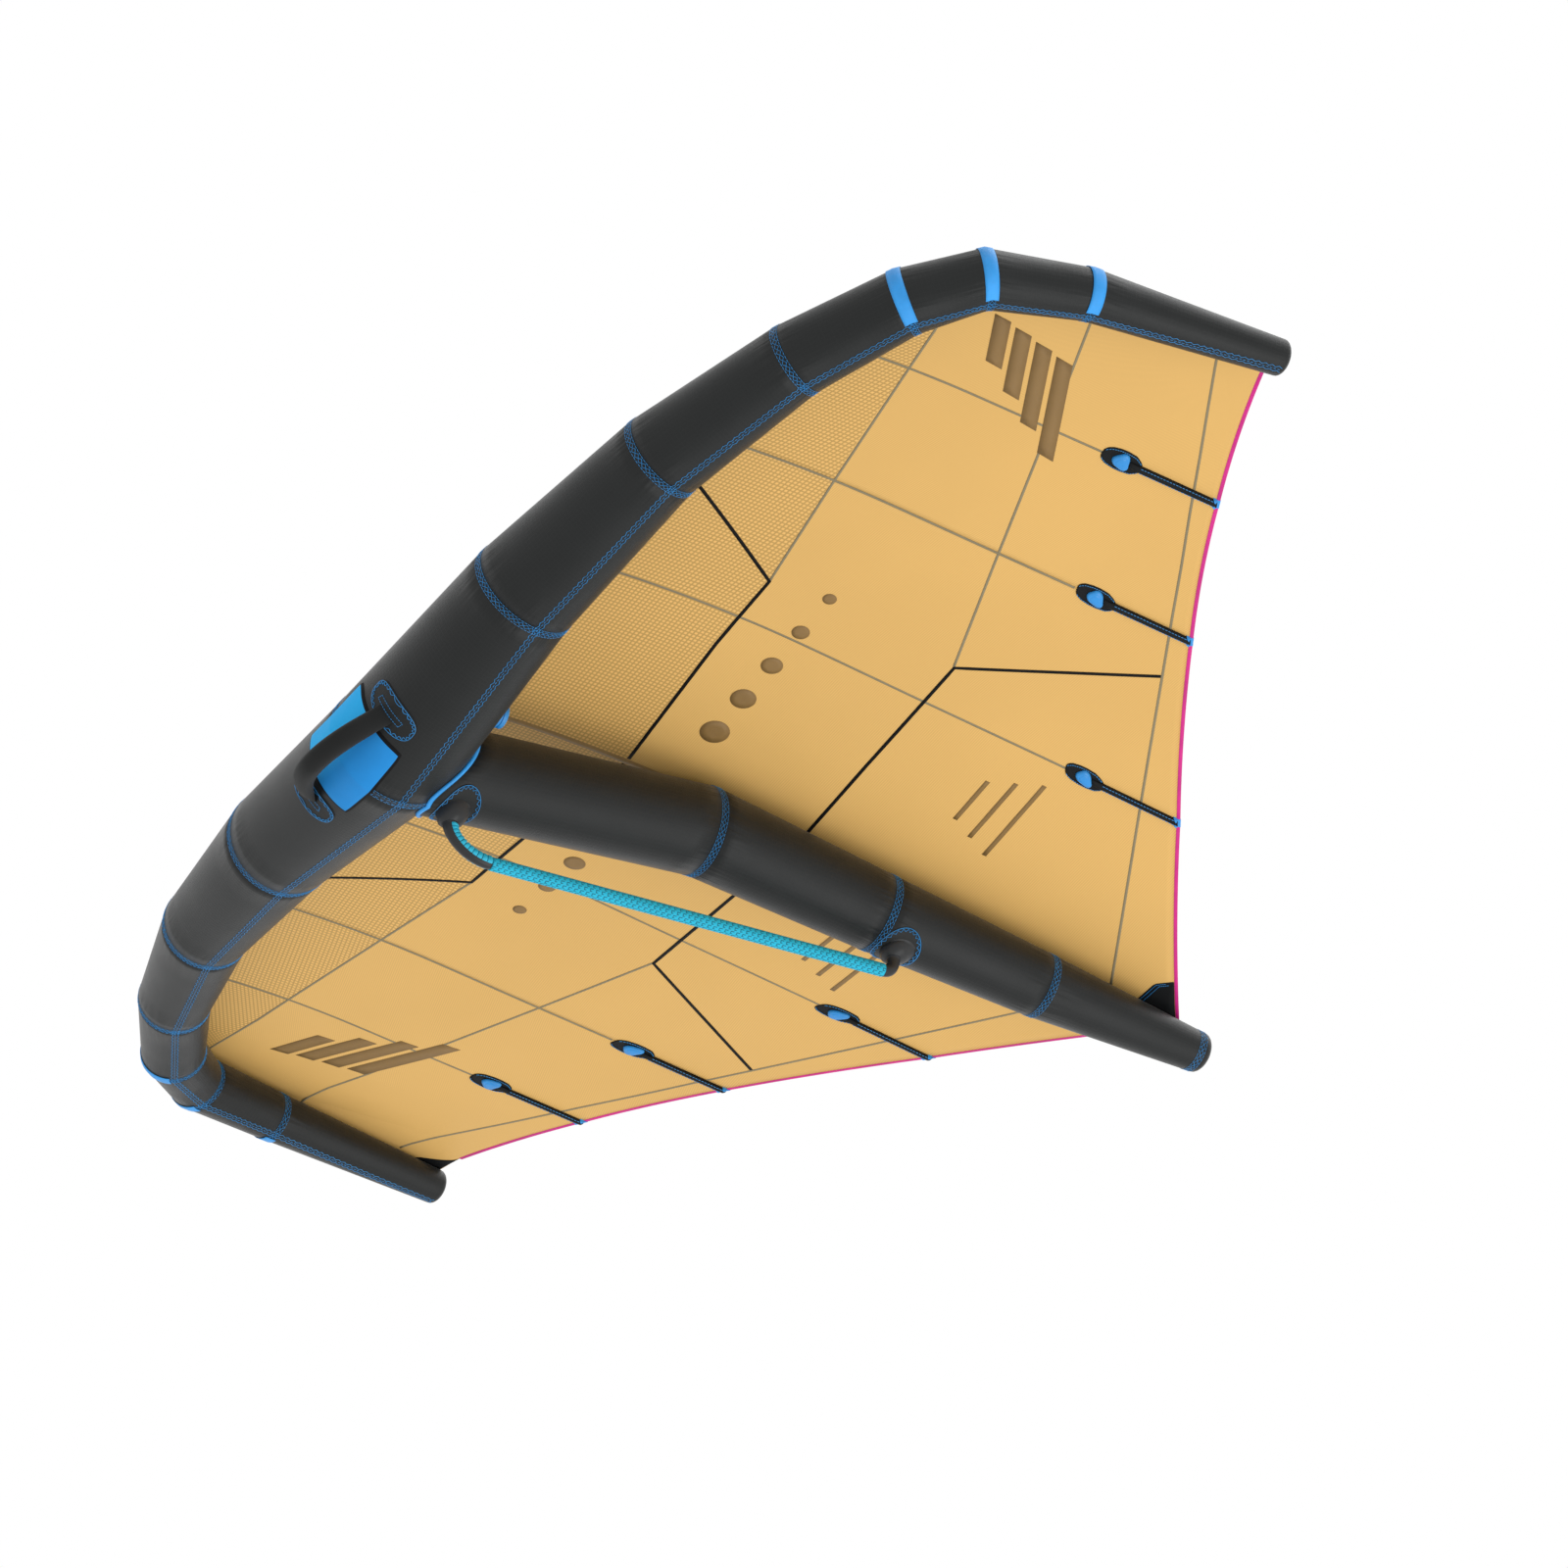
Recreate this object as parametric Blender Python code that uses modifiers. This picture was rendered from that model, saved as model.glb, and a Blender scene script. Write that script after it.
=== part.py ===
"""Wingfoil wing: an inflatable hand-held wing with a leading edge tube, a strut, a canopy and a boom.

Lengths are in metres. The datum of every value below is the centre of the leading edge tube at the
middle of the wing: +X to the right tip, +Y to the trailing edge, +Z up. The finished wing is moved so
that its origin is the middle of the boom's grip, where the rider's hand holds it.
"""
import math

import bmesh
import bpy
from mathutils import Vector

# Gaps and overruns
GAP = 0.0003                 # between two pieces that touch
CUT_OVERRUN = 0.02           # how far a cutter runs past what it cuts

# Leading edge tube: seven straight panels a side, mitred at the seams
TIP_X = 1.559                # tube's end from the middle
TIP_Y = 1.025                # tube's end behind the middle of the tube
TIP_Z = 0.319                # tube's end above the middle of the tube
LE_DIAMETER = 0.265          # at the middle
LE_WALL = 0.002              # cloth with its laminate
LE_TIP_ROUNDING = 0.018      # length of the rounded end
SEAM_X_SHARES = (0.0, 0.296, 0.551, 0.751, 0.883, 0.949, 0.977, 1.0)
SEAM_Y_SHARES = (0.0, 0.020, 0.079, 0.181, 0.293, 0.405, 0.602, 1.0)
SEAM_Z_SHARES = (0.0, 0.260, 0.498, 0.693, 0.834, 0.937, 1.0, 1.0)
LE_DIAMETER_SHARES = (1.0, 0.842, 0.675, 0.558, 0.494, 0.440, 0.389, 0.274)
TUBE_SIDES = 24

# Seam bands, the coloured tape over the outer seams
BAND_WIDTH = 0.026
BAND_THICKNESS = 0.0015
BAND_SEAMS = (4, 5, 6)
BAND_FROM_DEG = -14          # from the top of the tube, minus is towards the front
BAND_TO_DEG = -172

# Bladders
BLADDER_GAP = 0.001          # between the cloth and the bladder
BLADDER_WALL = 0.001

# Strut: four straight panels
STRUT_LENGTH = 1.869
STRUT_DIAMETER = 0.188       # where it meets the leading edge
STRUT_ARCH = 0.0854          # height of the strut's axis at its first seam
STRUT_WALL = 0.002
STRUT_END_ROUNDING = 0.022
STRUT_Y_SHARES = (0.0, 0.3765, 0.5965, 0.80, 1.0)
STRUT_Z_SHARES = (-0.30, 1.0, 0.562, 0.224, 0.0)
STRUT_DIAMETER_SHARES = (1.0, 0.973, 0.859, 0.707, 0.439)

# Welt round the strut where it meets the leading edge
WELT_THICKNESS = 0.003
WELT_WIDTH = 0.014

# Canopy
TE_MIDDLE_Y = 1.822          # trailing edge behind the datum, over the strut
TE_TIP_Z = 0.346             # trailing edge at the tip above the datum
CANOPY_THICKNESS = 0.0015
CANOPY_CLEARANCE = 0.0012    # over the strut's seams, where the cloth lies on it
TE_X_SHARES = (0.0, 0.290, 0.548, 0.750, 0.949)
TE_Y_SHARES = (1.0, 0.8375, 0.708, 0.6273, 0.570)
TE_Z_SHARES = (0.145, 0.410, 0.647, 0.824, 1.0)
TE_HOLLOW = 0.006            # how far the trailing edge draws in between two battens
CAMBER_AT_SEAM_1 = 0.062
CAMBER_AT_SEAM_2 = 0.0405
CAMBER_AT_SEAM_3 = 0.029
CAMBER_AT_SEAM_4 = 0.020
CAMBER_AT_SEAM_5 = 0.013
CAMBER_AT_SEAM_6 = 0.006
# Height of the profile above its chord line, as shares of the chord and of the camber
PROFILE_SHARES = ((0.0, 0.0), (0.07, 0.46), (0.15, 0.77), (0.25, 0.95), (0.34, 1.0),
                  (0.42, 0.95), (0.61, 0.65), (0.82, 0.33), (1.0, 0.0))
# Where the cloth leaves the tube, in degrees from the tube's top, plus is towards the cloth
LEAVING_DEG = (-8.0, -10.0, -10.0, -8.0, 0.0, 10.0, 20.0, 35.0)
# Each rib as its place along the tube, in seams, and along the trailing edge, in battens
RIBS = ((0.0, 0.0), (0.25, 0.25), (0.5, 0.5), (0.75, 0.75), (1.0, 1.0), (1.5, 1.5), (2.0, 2.0),
        (2.5, 2.5), (3.0, 3.0), (3.5, 3.2), (4.0, 3.4), (4.5, 3.5), (5.0, 3.6), (5.5, 3.7),
        (6.0, 3.8), (6.5, 3.9), (7.0, 4.0))
INNER_RIBS = 7               # ribs on each side of the middle panel
CHORD_SHARES = (0.0, 0.035, 0.07, 0.11, 0.15, 0.20, 0.25, 0.34, 0.42, 0.52, 0.61, 0.72, 0.82, 0.91, 1.0)

# Binding along the trailing edge
BINDING_WIDTH = 0.007
BINDING_THICKNESS = 0.0024

# Battens, each in a pocket sewn under the cloth
POCKET_LENGTH = 0.262        # from the front of the patch to the trailing edge
PATCH_LENGTH = 0.088
PATCH_WIDTH = 0.052
PATCH_THICKNESS = 0.0015
SLEEVE_WIDTH = 0.015
BATTEN_WIDTH = 0.0056
BATTEN_THICKNESS = 0.004
BATTEN_CLEARANCE = 0.0003
HEAD_LENGTH = 0.030
HEAD_WIDTH = 0.030
HEAD_FROM_FRONT = 0.030
# Half width of the patch along its length, as shares of its length and width
PATCH_OUTLINE_SHARES = ((0.0, 0.20), (0.05, 0.32), (0.16, 0.42), (0.55, 0.50), (0.78, 0.46),
                        (0.93, 0.30), (1.0, 0.15))
HEAD_OUTLINE_SHARES = ((0.0, 0.22), (0.12, 0.38), (0.45, 0.50), (0.70, 0.42), (0.90, 0.24), (1.0, 0.12))

# Pad on the front of the tube, under the handle
PAD_HALF_WIDTH = 0.099
PAD_THICKNESS = 0.003
PAD_FROM_DEG = -77
PAD_TO_DEG = -160

# Handle on the front of the tube, with its two patches
PATCH_X = 0.146              # centre of a handle patch from the middle
HANDLE_PATCH_WIDTH = 0.066
HANDLE_PATCH_THICKNESS = 0.002
HANDLE_DEG = -127            # direction of the handle from the tube's top
HANDLE_PATCH_SPAN_DEG = 60
TAB_LENGTH = 0.034
TAB_HEIGHT = 0.022
TAB_WIDTH = 0.046
TAB_TOE = 0.004              # height of the tab at its outer end
HANDLE_HALF_LENGTH = 0.127
HANDLE_DIAMETER = 0.042
HANDLE_END_DIAMETER = 0.020
HANDLE_CLEARANCE = 0.0007    # between the handle's ends and the patches, so that it can swing
HANDLE_STANDOFF = 0.0735     # axis of the grip above the tube at the middle
HANDLE_ROOT_REACH = 0.022    # length of the straight run at each end
HANDLE_CROWN_REACH = 0.075

# Boom
MOUNT_FRONT_Y = 0.132
MOUNT_REAR_Y = 1.148
GRIP_FRONT_Y = 0.223
GRIP_REAR_Y = 1.1235
GRIP_FRONT_DROP = 0.1056     # grip's axis below the strut's underside
GRIP_REAR_DROP = 0.0577
GRIP_DIAMETER = 0.0275
BOOM_TUBE_DIAMETER = 0.022
BOOM_TUBE_WALL = 0.002
ELBOW_DIAMETER = 0.025
ELBOW_SIDES = 20
ELBOW_STEPS = 12
SPIGOT_LENGTH = 0.04
FRONT_ELBOW_REACH = 0.030
FRONT_ELBOW_RUN = 0.050
REAR_ELBOW_REACH = 0.018
REAR_ELBOW_RUN = 0.018
PEG_DIAMETER = 0.018
PEG_LENGTH = 0.014
SOCKET_DEPTH = 0.015
SLIDING_CLEARANCE = 0.0005
MOUNT_FLANGE_DIAMETER = 0.088
MOUNT_FLANGE_THICKNESS = 0.003
MOUNT_DOME_DIAMETER = 0.056
MOUNT_MOUTH_DIAMETER = 0.032
FRONT_DOME_HEIGHT = 0.032
REAR_DOME_HEIGHT = 0.021
# Side of a mount's dome, as shares of its half width beyond the mouth and of its height
DOME_SHARES = ((1.0, 0.0), (0.97, 0.25), (0.86, 0.50), (0.62, 0.75), (0.34, 0.92), (0.0, 1.0))

# Valve on the back of the tube
VALVE_X = 0.168
VALVE_FLANGE_DIAMETER = 0.058
VALVE_HEIGHT = 0.009         # seat of the cap above the tube
VALVE_STEM_DIAMETER = 0.030
VALVE_BORE_DIAMETER = 0.022
VALVE_STEM_DEPTH = 0.020     # stem inside the tube
CAP_DIAMETER = 0.050
CAP_THICKNESS = 0.010
CAP_EDGE_ROUNDING = 0.002

# Hose that feeds the strut's bladder
HOSE_X = 0.036
HOSE_DIAMETER = 0.016
HOSE_BORE = 0.012
HOSE_SIDES = 16
HOSE_INTO_LE = 0.020
HOSE_INTO_STRUT = 0.045
STRUT_BLADDER_START = 0.030  # bladder's front end behind the tube

COLOURS = {
    "tube_cloth": ((0.035, 0.037, 0.037, 1.0), 0.55),
    "seam_tape": ((0.02, 0.30, 0.84, 1.0), 0.50),
    "canopy_cloth": ((0.79, 0.47, 0.15, 1.0), 0.50),
    "edge_binding": ((0.67, 0.02, 0.24, 1.0), 0.55),
    "reinforcement": ((0.012, 0.013, 0.014, 1.0), 0.60),
    "batten_blue": ((0.02, 0.30, 0.78, 1.0), 0.40),
    "foam_pad": ((0.02, 0.28, 0.76, 1.0), 0.70),
    "handle_foam": ((0.035, 0.035, 0.035, 1.0), 0.75),
    "boom_plastic": ((0.035, 0.036, 0.037, 1.0), 0.45),
    "boom_tube_alloy": ((0.60, 0.61, 0.62, 1.0), 0.35),
    "grip_foam": ((0.02, 0.52, 0.72, 1.0), 0.65),
    "bladder_film": ((0.80, 0.82, 0.84, 1.0), 0.20),
    "valve_plastic": ((0.02, 0.28, 0.72, 1.0), 0.35),
    "hose_plastic": ((0.75, 0.77, 0.80, 1.0), 0.30),
}


# Scene, collections and materials

def clear_scene():
    for old in list(bpy.data.objects):
        bpy.data.objects.remove(old, do_unlink=True)


def new_collection(name):
    made = bpy.data.collections.new(name)
    bpy.context.scene.collection.children.link(made)
    return made


def material(name, shade):
    colour, roughness = COLOURS[shade]
    made = bpy.data.materials.new(name)
    made.use_nodes = True
    shader = made.node_tree.nodes["Principled BSDF"]
    shader.inputs["Base Color"].default_value = colour
    shader.inputs["Roughness"].default_value = roughness
    shader.inputs["Metallic"].default_value = 1.0 if shade == "boom_tube_alloy" else 0.0
    return made


clear_scene()
PARTS = new_collection("wingfoil_wing")
CUTTERS = new_collection("wingfoil_wing_cutters")
DATUM = bpy.data.objects.new("wing_datum", None)
PARTS.objects.link(DATUM)


def add_part(name, data, shade):
    """A node of the wing, held by the datum."""
    piece = bpy.data.objects.new(name, data)
    PARTS.objects.link(piece)
    piece.parent = DATUM
    piece.data.materials.append(material(name, shade))
    return piece


def add_cutter(name, data):
    piece = bpy.data.objects.new(name, data)
    CUTTERS.objects.link(piece)
    piece.parent = DATUM
    piece.hide_render = True
    piece.display_type = "WIRE"
    return piece


def boolean(piece, operation, other):
    cut = piece.modifiers.new(operation.lower() + "_" + other.name, "BOOLEAN")
    cut.operation = operation
    cut.solver = "EXACT"
    cut.object = other


# Mesh helpers

def finish_mesh(name, bm, smooth_deg=30):
    made = bpy.data.meshes.new(name)
    bm.to_mesh(made)
    bm.free()
    made.shade_smooth()
    made.set_sharp_from_angle(angle=math.radians(smooth_deg))
    return made


def skin(bm, first, second, closed):
    """Quads between two rows of vertices, and across the join of closed rows."""
    for i in range(len(first) - (not closed)):
        j = (i + 1) % len(first)
        bm.faces.new((first[i], first[j], second[j], second[i]))


def loft(name, loops, cyclic=False):
    """A solid through closed loops of points. Its ends are capped, or the last loop meets the first."""
    bm = bmesh.new()
    rings = [[bm.verts.new(point) for point in loop] for loop in loops]
    for first, second in zip(rings, rings[1:]):
        skin(bm, first, second, True)
    if cyclic:
        skin(bm, rings[-1], rings[0], True)
    else:
        bm.faces.new(rings[0])
        bm.faces.new(rings[-1])
    bmesh.ops.recalc_face_normals(bm, faces=bm.faces)
    return finish_mesh(name, bm)


def sheet(name, rows, outward):
    """An open surface through rows of points, its faces turned to the outward side."""
    bm = bmesh.new()
    made = [[bm.verts.new(point) for point in row] for row in rows]
    for first, second in zip(made, made[1:]):
        skin(bm, first, second, False)
    bm.normal_update()
    if sum((face.normal * face.calc_area() for face in bm.faces), Vector()).dot(outward) < 0:
        bmesh.ops.reverse_faces(bm, faces=bm.faces)
    return finish_mesh(name, bm)


def thicken(piece, thickness):
    wall = piece.modifiers.new("thickness", "SOLIDIFY")
    wall.thickness = thickness
    wall.offset = 1.0
    wall.use_even_offset = True


def turned(name, profile, shade=None, sides=TUBE_SIDES):
    """A solid turned about Z from (radius, height) points, lowest first. Without a shade it is a cutter."""
    mesh = bpy.data.meshes.new(name)
    bm = bmesh.new()
    points = [(0.0, profile[-1][1])] + list(reversed(profile)) + [(0.0, profile[0][1])]
    verts = [bm.verts.new((radius, 0.0, height)) for radius, height in points]
    for first, second in zip(verts, verts[1:]):
        bm.edges.new((first, second))
    bm.to_mesh(mesh)
    bm.free()
    piece = add_part(name, mesh, shade) if shade else add_cutter(name, mesh)
    turn = piece.modifiers.new("turn", "SCREW")
    turn.axis = "Z"
    turn.steps = sides
    turn.render_steps = sides
    turn.use_merge_vertices = True
    turn.merge_threshold = GAP / 10
    turn.use_smooth_shade = True
    return piece


def between(table, place):
    """A value from a list, read between its entries."""
    low = min(int(place), len(table) - 2)
    part = place - low
    return table[low] * (1.0 - part) + table[low + 1] * part


def profile_height(share):
    """Height of the canopy's profile, by a smooth curve through its points."""
    points = PROFILE_SHARES
    slopes = []
    for i in range(len(points)):
        before = points[max(i - 1, 0)]
        after = points[min(i + 1, len(points) - 1)]
        slopes.append((after[1] - before[1]) / (after[0] - before[0]))
    for i in range(len(points) - 1):
        (x0, y0), (x1, y1) = points[i], points[i + 1]
        if share <= x1:
            break
    step = x1 - x0
    t = (share - x0) / step
    return ((2 * t**3 - 3 * t**2 + 1) * y0 + (t**3 - 2 * t**2 + t) * step * slopes[i]
            + (3 * t**2 - 2 * t**3) * y1 + (t**3 - t**2) * step * slopes[i + 1])


def bezier(p0, p1, p2, p3, count):
    """Points along a cubic curve, both ends with them."""
    for step in range(count + 1):
        t = step / count
        yield (p0 * (1 - t)**3 + p1 * 3 * (1 - t)**2 * t + p2 * 3 * (1 - t) * t**2 + p3 * t**3)


def mirrored(point, side):
    return Vector((point.x * side, point.y, point.z))


# Leading edge: the rings at its seams

LE_CENTRES = [Vector((TIP_X * x, TIP_Y * y, TIP_Z * z))
              for x, y, z in zip(SEAM_X_SHARES, SEAM_Y_SHARES, SEAM_Z_SHARES)]
LE_RADII = [LE_DIAMETER / 2 * share for share in LE_DIAMETER_SHARES]
TIP = len(LE_CENTRES) - 1
STEP_DEG = 360.0 / TUBE_SIDES
UP = Vector((0.0, 0.0, 1.0))


def le_frame(ring):
    """Up and cloth-side directions of the section at a ring, the side one stretched for the mitre."""
    ahead = (LE_CENTRES[min(ring + 1, TIP)] - LE_CENTRES[min(ring, TIP - 1)]).normalized()
    if ring == 0:
        behind = Vector((ahead.x, -ahead.y, -ahead.z))
    else:
        behind = (LE_CENTRES[ring] - LE_CENTRES[ring - 1]).normalized()
    along = (ahead + behind).normalized()
    up = (UP - along * UP.dot(along)).normalized()
    return up, up.cross(along) / along.dot(ahead)


LE_FRAMES = [le_frame(ring) for ring in range(TIP + 1)]


def le_ring_point(ring, angle_deg, extra):
    up, across = LE_FRAMES[ring]
    angle = math.radians(angle_deg)
    reach = LE_RADII[ring] + extra
    return LE_CENTRES[ring] + (up * math.cos(angle) + across * math.sin(angle)) * reach


def le_point(place, angle_deg, extra=0.0, side=1):
    """A point on the tube: place in seams from the middle, angle from the top, plus towards the cloth."""
    low = min(int(place), TIP - 1)
    part = place - low
    first = le_ring_point(low, angle_deg, extra)
    second = le_ring_point(low + 1, angle_deg, extra)
    return mirrored(first.lerp(second, part), side)


def le_place_at(x):
    """Place along the innermost panel at a distance from the middle."""
    return x / LE_CENTRES[1].x


def le_loop(place, extra, side=1):
    return [le_point(place, k * STEP_DEG, extra, side) for k in range(TUBE_SIDES)]


def rounded_end(ring_of, length, radius, steps=3):
    """Loops of a rounded tube end: ring_of(scale, reach) gives a loop drawn in and pushed along."""
    loops = []
    for step in range(1, steps + 1):
        angle = math.radians(80.0 * step / steps)
        loops.append(ring_of(math.cos(angle), length * math.sin(angle)))
    return loops


def le_end_loops(inset, side):
    """The rounded end of the tube, drawn in by the inset."""
    direction = (LE_CENTRES[TIP] - LE_CENTRES[TIP - 1]).normalized()
    up, across = LE_FRAMES[TIP]
    radius = LE_RADII[TIP] - inset

    def ring_of(scale, reach):
        centre = LE_CENTRES[TIP] + direction * reach
        loop = []
        for k in range(TUBE_SIDES):
            angle = math.radians(k * STEP_DEG)
            loop.append(mirrored(centre + (up * math.cos(angle) + across * math.sin(angle)) * radius * scale,
                                 side))
        return loop

    return rounded_end(ring_of, LE_TIP_ROUNDING - inset, radius)


def seam_places(first, second):
    """Places of a panel's two ends, each drawn back by half a gap."""
    length = (LE_CENTRES[second] - LE_CENTRES[first]).length
    return first + GAP / 2 / length, second - GAP / 2 / length


def make_le_panels():
    made = {}
    for side, word in ((1, "right"), (-1, "left")):
        for ring in range(TIP):
            start, end = seam_places(ring, ring + 1)
            name = f"le_panel_{word}_{ring + 1}"
            if ring < TIP - 1:
                loops = [le_loop(start, 0.0, side), le_loop(end, 0.0, side),
                         le_loop(end, -LE_WALL, side), le_loop(start, -LE_WALL, side)]
                mesh = loft(name, loops, cyclic=True)
            else:
                outer = [le_loop(start, 0.0, side), le_loop(TIP, 0.0, side)] + le_end_loops(0.0, side)
                inner = [le_loop(start, -LE_WALL, side), le_loop(TIP, -LE_WALL, side)]
                inner += le_end_loops(LE_WALL, side)
                mesh = loft(name, outer[::-1] + inner)
            made[name] = add_part(name, mesh, "tube_cloth")
    return made


def le_solid(name, extra, rings=1):
    """The middle of the leading edge as one solid, a little larger than the tube."""
    loops = [le_loop(ring, extra, -1) for ring in range(rings, 0, -1)]
    loops += [le_loop(ring, extra, 1) for ring in range(rings + 1)]
    return add_cutter(name, loft(name, loops))


def angles_between(first_deg, last_deg):
    """The two angles, and each corner of the tube between them."""
    low, high = sorted((first_deg, last_deg))
    corners = [k * STEP_DEG for k in range(-TUBE_SIDES, TUBE_SIDES + 1) if low < k * STEP_DEG < high]
    return [low] + corners + [high]


def make_seam_bands():
    for side, word in ((1, "right"), (-1, "left")):
        for ring in BAND_SEAMS:
            before = (LE_CENTRES[ring] - LE_CENTRES[ring - 1]).length
            after = (LE_CENTRES[ring + 1] - LE_CENTRES[ring]).length
            places = (ring - BAND_WIDTH / 2 / before, ring, ring + BAND_WIDTH / 2 / after)
            angles = angles_between(BAND_FROM_DEG, BAND_TO_DEG)
            rows = [[le_point(place, angle, GAP, side) for angle in angles] for place in places]
            middle = angles[len(angles) // 2]
            outward = le_point(ring, middle, LE_WALL, side) - le_point(ring, middle, 0.0, side)
            name = f"seam_band_{word}_{ring}"
            band = add_part(name, sheet(name, rows, outward), "seam_tape")
            thicken(band, BAND_THICKNESS)


def tip_to_tip(inset):
    """Loops of the whole leading edge, from the left tip to the right one."""
    left = le_end_loops(inset, -1)[::-1] + [le_loop(ring, -inset, -1) for ring in range(TIP, 0, -1)]
    return left + [le_loop(ring, -inset, 1) for ring in range(TIP + 1)] + le_end_loops(inset, 1)


def make_le_bladder():
    inset = LE_WALL + BLADDER_GAP
    bladder = add_part("le_bladder", loft("le_bladder", tip_to_tip(inset)), "bladder_film")
    hollow = add_cutter("le_bladder_hollow", loft("le_bladder_hollow", tip_to_tip(inset + BLADDER_WALL)))
    boolean(bladder, "DIFFERENCE", hollow)
    return bladder


# Strut

STRUT_CENTRES = [Vector((0.0, STRUT_LENGTH * y, STRUT_ARCH * z))
                 for y, z in zip(STRUT_Y_SHARES, STRUT_Z_SHARES)]
STRUT_RADII = [STRUT_DIAMETER / 2 * share for share in STRUT_DIAMETER_SHARES]
STRUT_END = len(STRUT_CENTRES) - 1
ACROSS = Vector((1.0, 0.0, 0.0))


def strut_loop(place, extra, scale=1.0, reach=0.0):
    """Section of the strut at a place in seams, mitred where two panels meet."""
    low = min(int(place), STRUT_END - 1)
    part = place - low
    ahead = (STRUT_CENTRES[low + 1] - STRUT_CENTRES[low]).normalized()
    ups = []
    for ring in (low, low + 1):
        before = STRUT_CENTRES[ring] - STRUT_CENTRES[ring - 1] if ring > 0 else ahead
        after = STRUT_CENTRES[ring + 1] - STRUT_CENTRES[ring] if ring < STRUT_END else before
        along = (before.normalized() + after.normalized()).normalized()
        ups.append(ACROSS.cross(along) / along.dot(after.normalized()))
    up = ups[0].lerp(ups[1], part)
    centre = STRUT_CENTRES[low].lerp(STRUT_CENTRES[low + 1], part) + ahead * reach
    radius = (STRUT_RADII[low] * (1 - part) + STRUT_RADII[low + 1] * part + extra) * scale
    loop = []
    for k in range(TUBE_SIDES):
        angle = math.radians(k * STEP_DEG)
        loop.append(centre + (up * math.cos(angle) + ACROSS * math.sin(angle)) * radius)
    return loop


def strut_place_at(y):
    """Place along the strut, in seams, at a distance behind the datum."""
    for ring in range(STRUT_END):
        if y <= STRUT_CENTRES[ring + 1].y or ring == STRUT_END - 1:
            return ring + (y - STRUT_CENTRES[ring].y) / (STRUT_CENTRES[ring + 1].y - STRUT_CENTRES[ring].y)


def strut_surface_z(y, sign, extra=0.0):
    """Height of the strut's top (sign +1) or underside (sign -1) in the middle plane."""
    place = strut_place_at(y)
    low = min(int(place), STRUT_END - 1)
    first = strut_loop(low, extra)[0 if sign > 0 else TUBE_SIDES // 2]
    second = strut_loop(low + 1, extra)[0 if sign > 0 else TUBE_SIDES // 2]
    return first.z + (second.z - first.z) * (y - first.y) / (second.y - first.y)


def strut_end_loops(inset):
    return rounded_end(lambda scale, reach: strut_loop(STRUT_END, -inset, scale, reach),
                       STRUT_END_ROUNDING - inset, STRUT_RADII[STRUT_END] - inset)


def strut_solid(name, extra, first=0.0):
    loops = [strut_loop(place, extra) for place in [first] + list(range(1, STRUT_END + 1))]
    return add_cutter(name, loft(name, loops))


def make_strut_panels(le_cutter):
    for ring in range(STRUT_END):
        length = (STRUT_CENTRES[ring + 1] - STRUT_CENTRES[ring]).length
        start = ring + GAP / 2 / length
        end = ring + 1 - GAP / 2 / length
        name = f"strut_panel_{ring + 1}"
        if ring < STRUT_END - 1:
            loops = [strut_loop(start, 0.0), strut_loop(end, 0.0),
                     strut_loop(end, -STRUT_WALL), strut_loop(start, -STRUT_WALL)]
            mesh = loft(name, loops, cyclic=True)
        else:
            outer = [strut_loop(start, 0.0), strut_loop(STRUT_END, 0.0)] + strut_end_loops(0.0)
            inner = [strut_loop(start, -STRUT_WALL), strut_loop(STRUT_END, -STRUT_WALL)]
            inner += strut_end_loops(STRUT_WALL)
            mesh = loft(name, outer[::-1] + inner)
        panel = add_part(name, mesh, "tube_cloth")
        if ring == 0:
            boolean(panel, "DIFFERENCE", le_cutter)


def make_strut_bladder():
    inset = STRUT_WALL + BLADDER_GAP
    first = strut_place_at(LE_RADII[0] + STRUT_BLADDER_START)
    places = [first] + list(range(1, STRUT_END + 1))
    outer = [strut_loop(place, -inset) for place in places] + strut_end_loops(inset)
    inset += BLADDER_WALL
    wall = BLADDER_WALL / (STRUT_CENTRES[1].y - STRUT_CENTRES[0].y)
    inner = [strut_loop(place, -inset) for place in [first + wall] + places[1:]] + strut_end_loops(inset)
    bladder = add_part("strut_bladder", loft("strut_bladder", outer), "bladder_film")
    hollow = add_cutter("strut_bladder_hollow", loft("strut_bladder_hollow", inner))
    boolean(bladder, "DIFFERENCE", hollow)
    return bladder


def make_welt(le_cutter):
    """The welt sewn round the strut, close to the leading edge."""
    first = 0.0
    last = strut_place_at(LE_RADII[0] + WELT_WIDTH + CUT_OVERRUN)
    loops = [strut_loop(first, GAP + WELT_THICKNESS), strut_loop(last, GAP + WELT_THICKNESS),
             strut_loop(last, GAP), strut_loop(first, GAP)]
    welt = add_part("strut_welt", loft("strut_welt", loops, cyclic=True), "seam_tape")
    boolean(welt, "INTERSECT", le_solid("welt_reach", WELT_WIDTH))
    boolean(welt, "DIFFERENCE", le_cutter)


# Canopy

TE_POINTS = [Vector((TIP_X * x, TE_MIDDLE_Y * y, TE_TIP_Z * z))
             for x, y, z in zip(TE_X_SHARES, TE_Y_SHARES, TE_Z_SHARES)]
CANOPY_LIFT = GAP


def te_point(place, side=1):
    """A point on the trailing edge, drawn in between two battens."""
    low = min(int(place), len(TE_POINTS) - 2)
    part = place - low
    point = TE_POINTS[low].lerp(TE_POINTS[low + 1], part)
    drawn = TE_HOLLOW * 4 * part * (1 - part)
    return mirrored(point - Vector((0.0, drawn, 0.0)), side)


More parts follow.
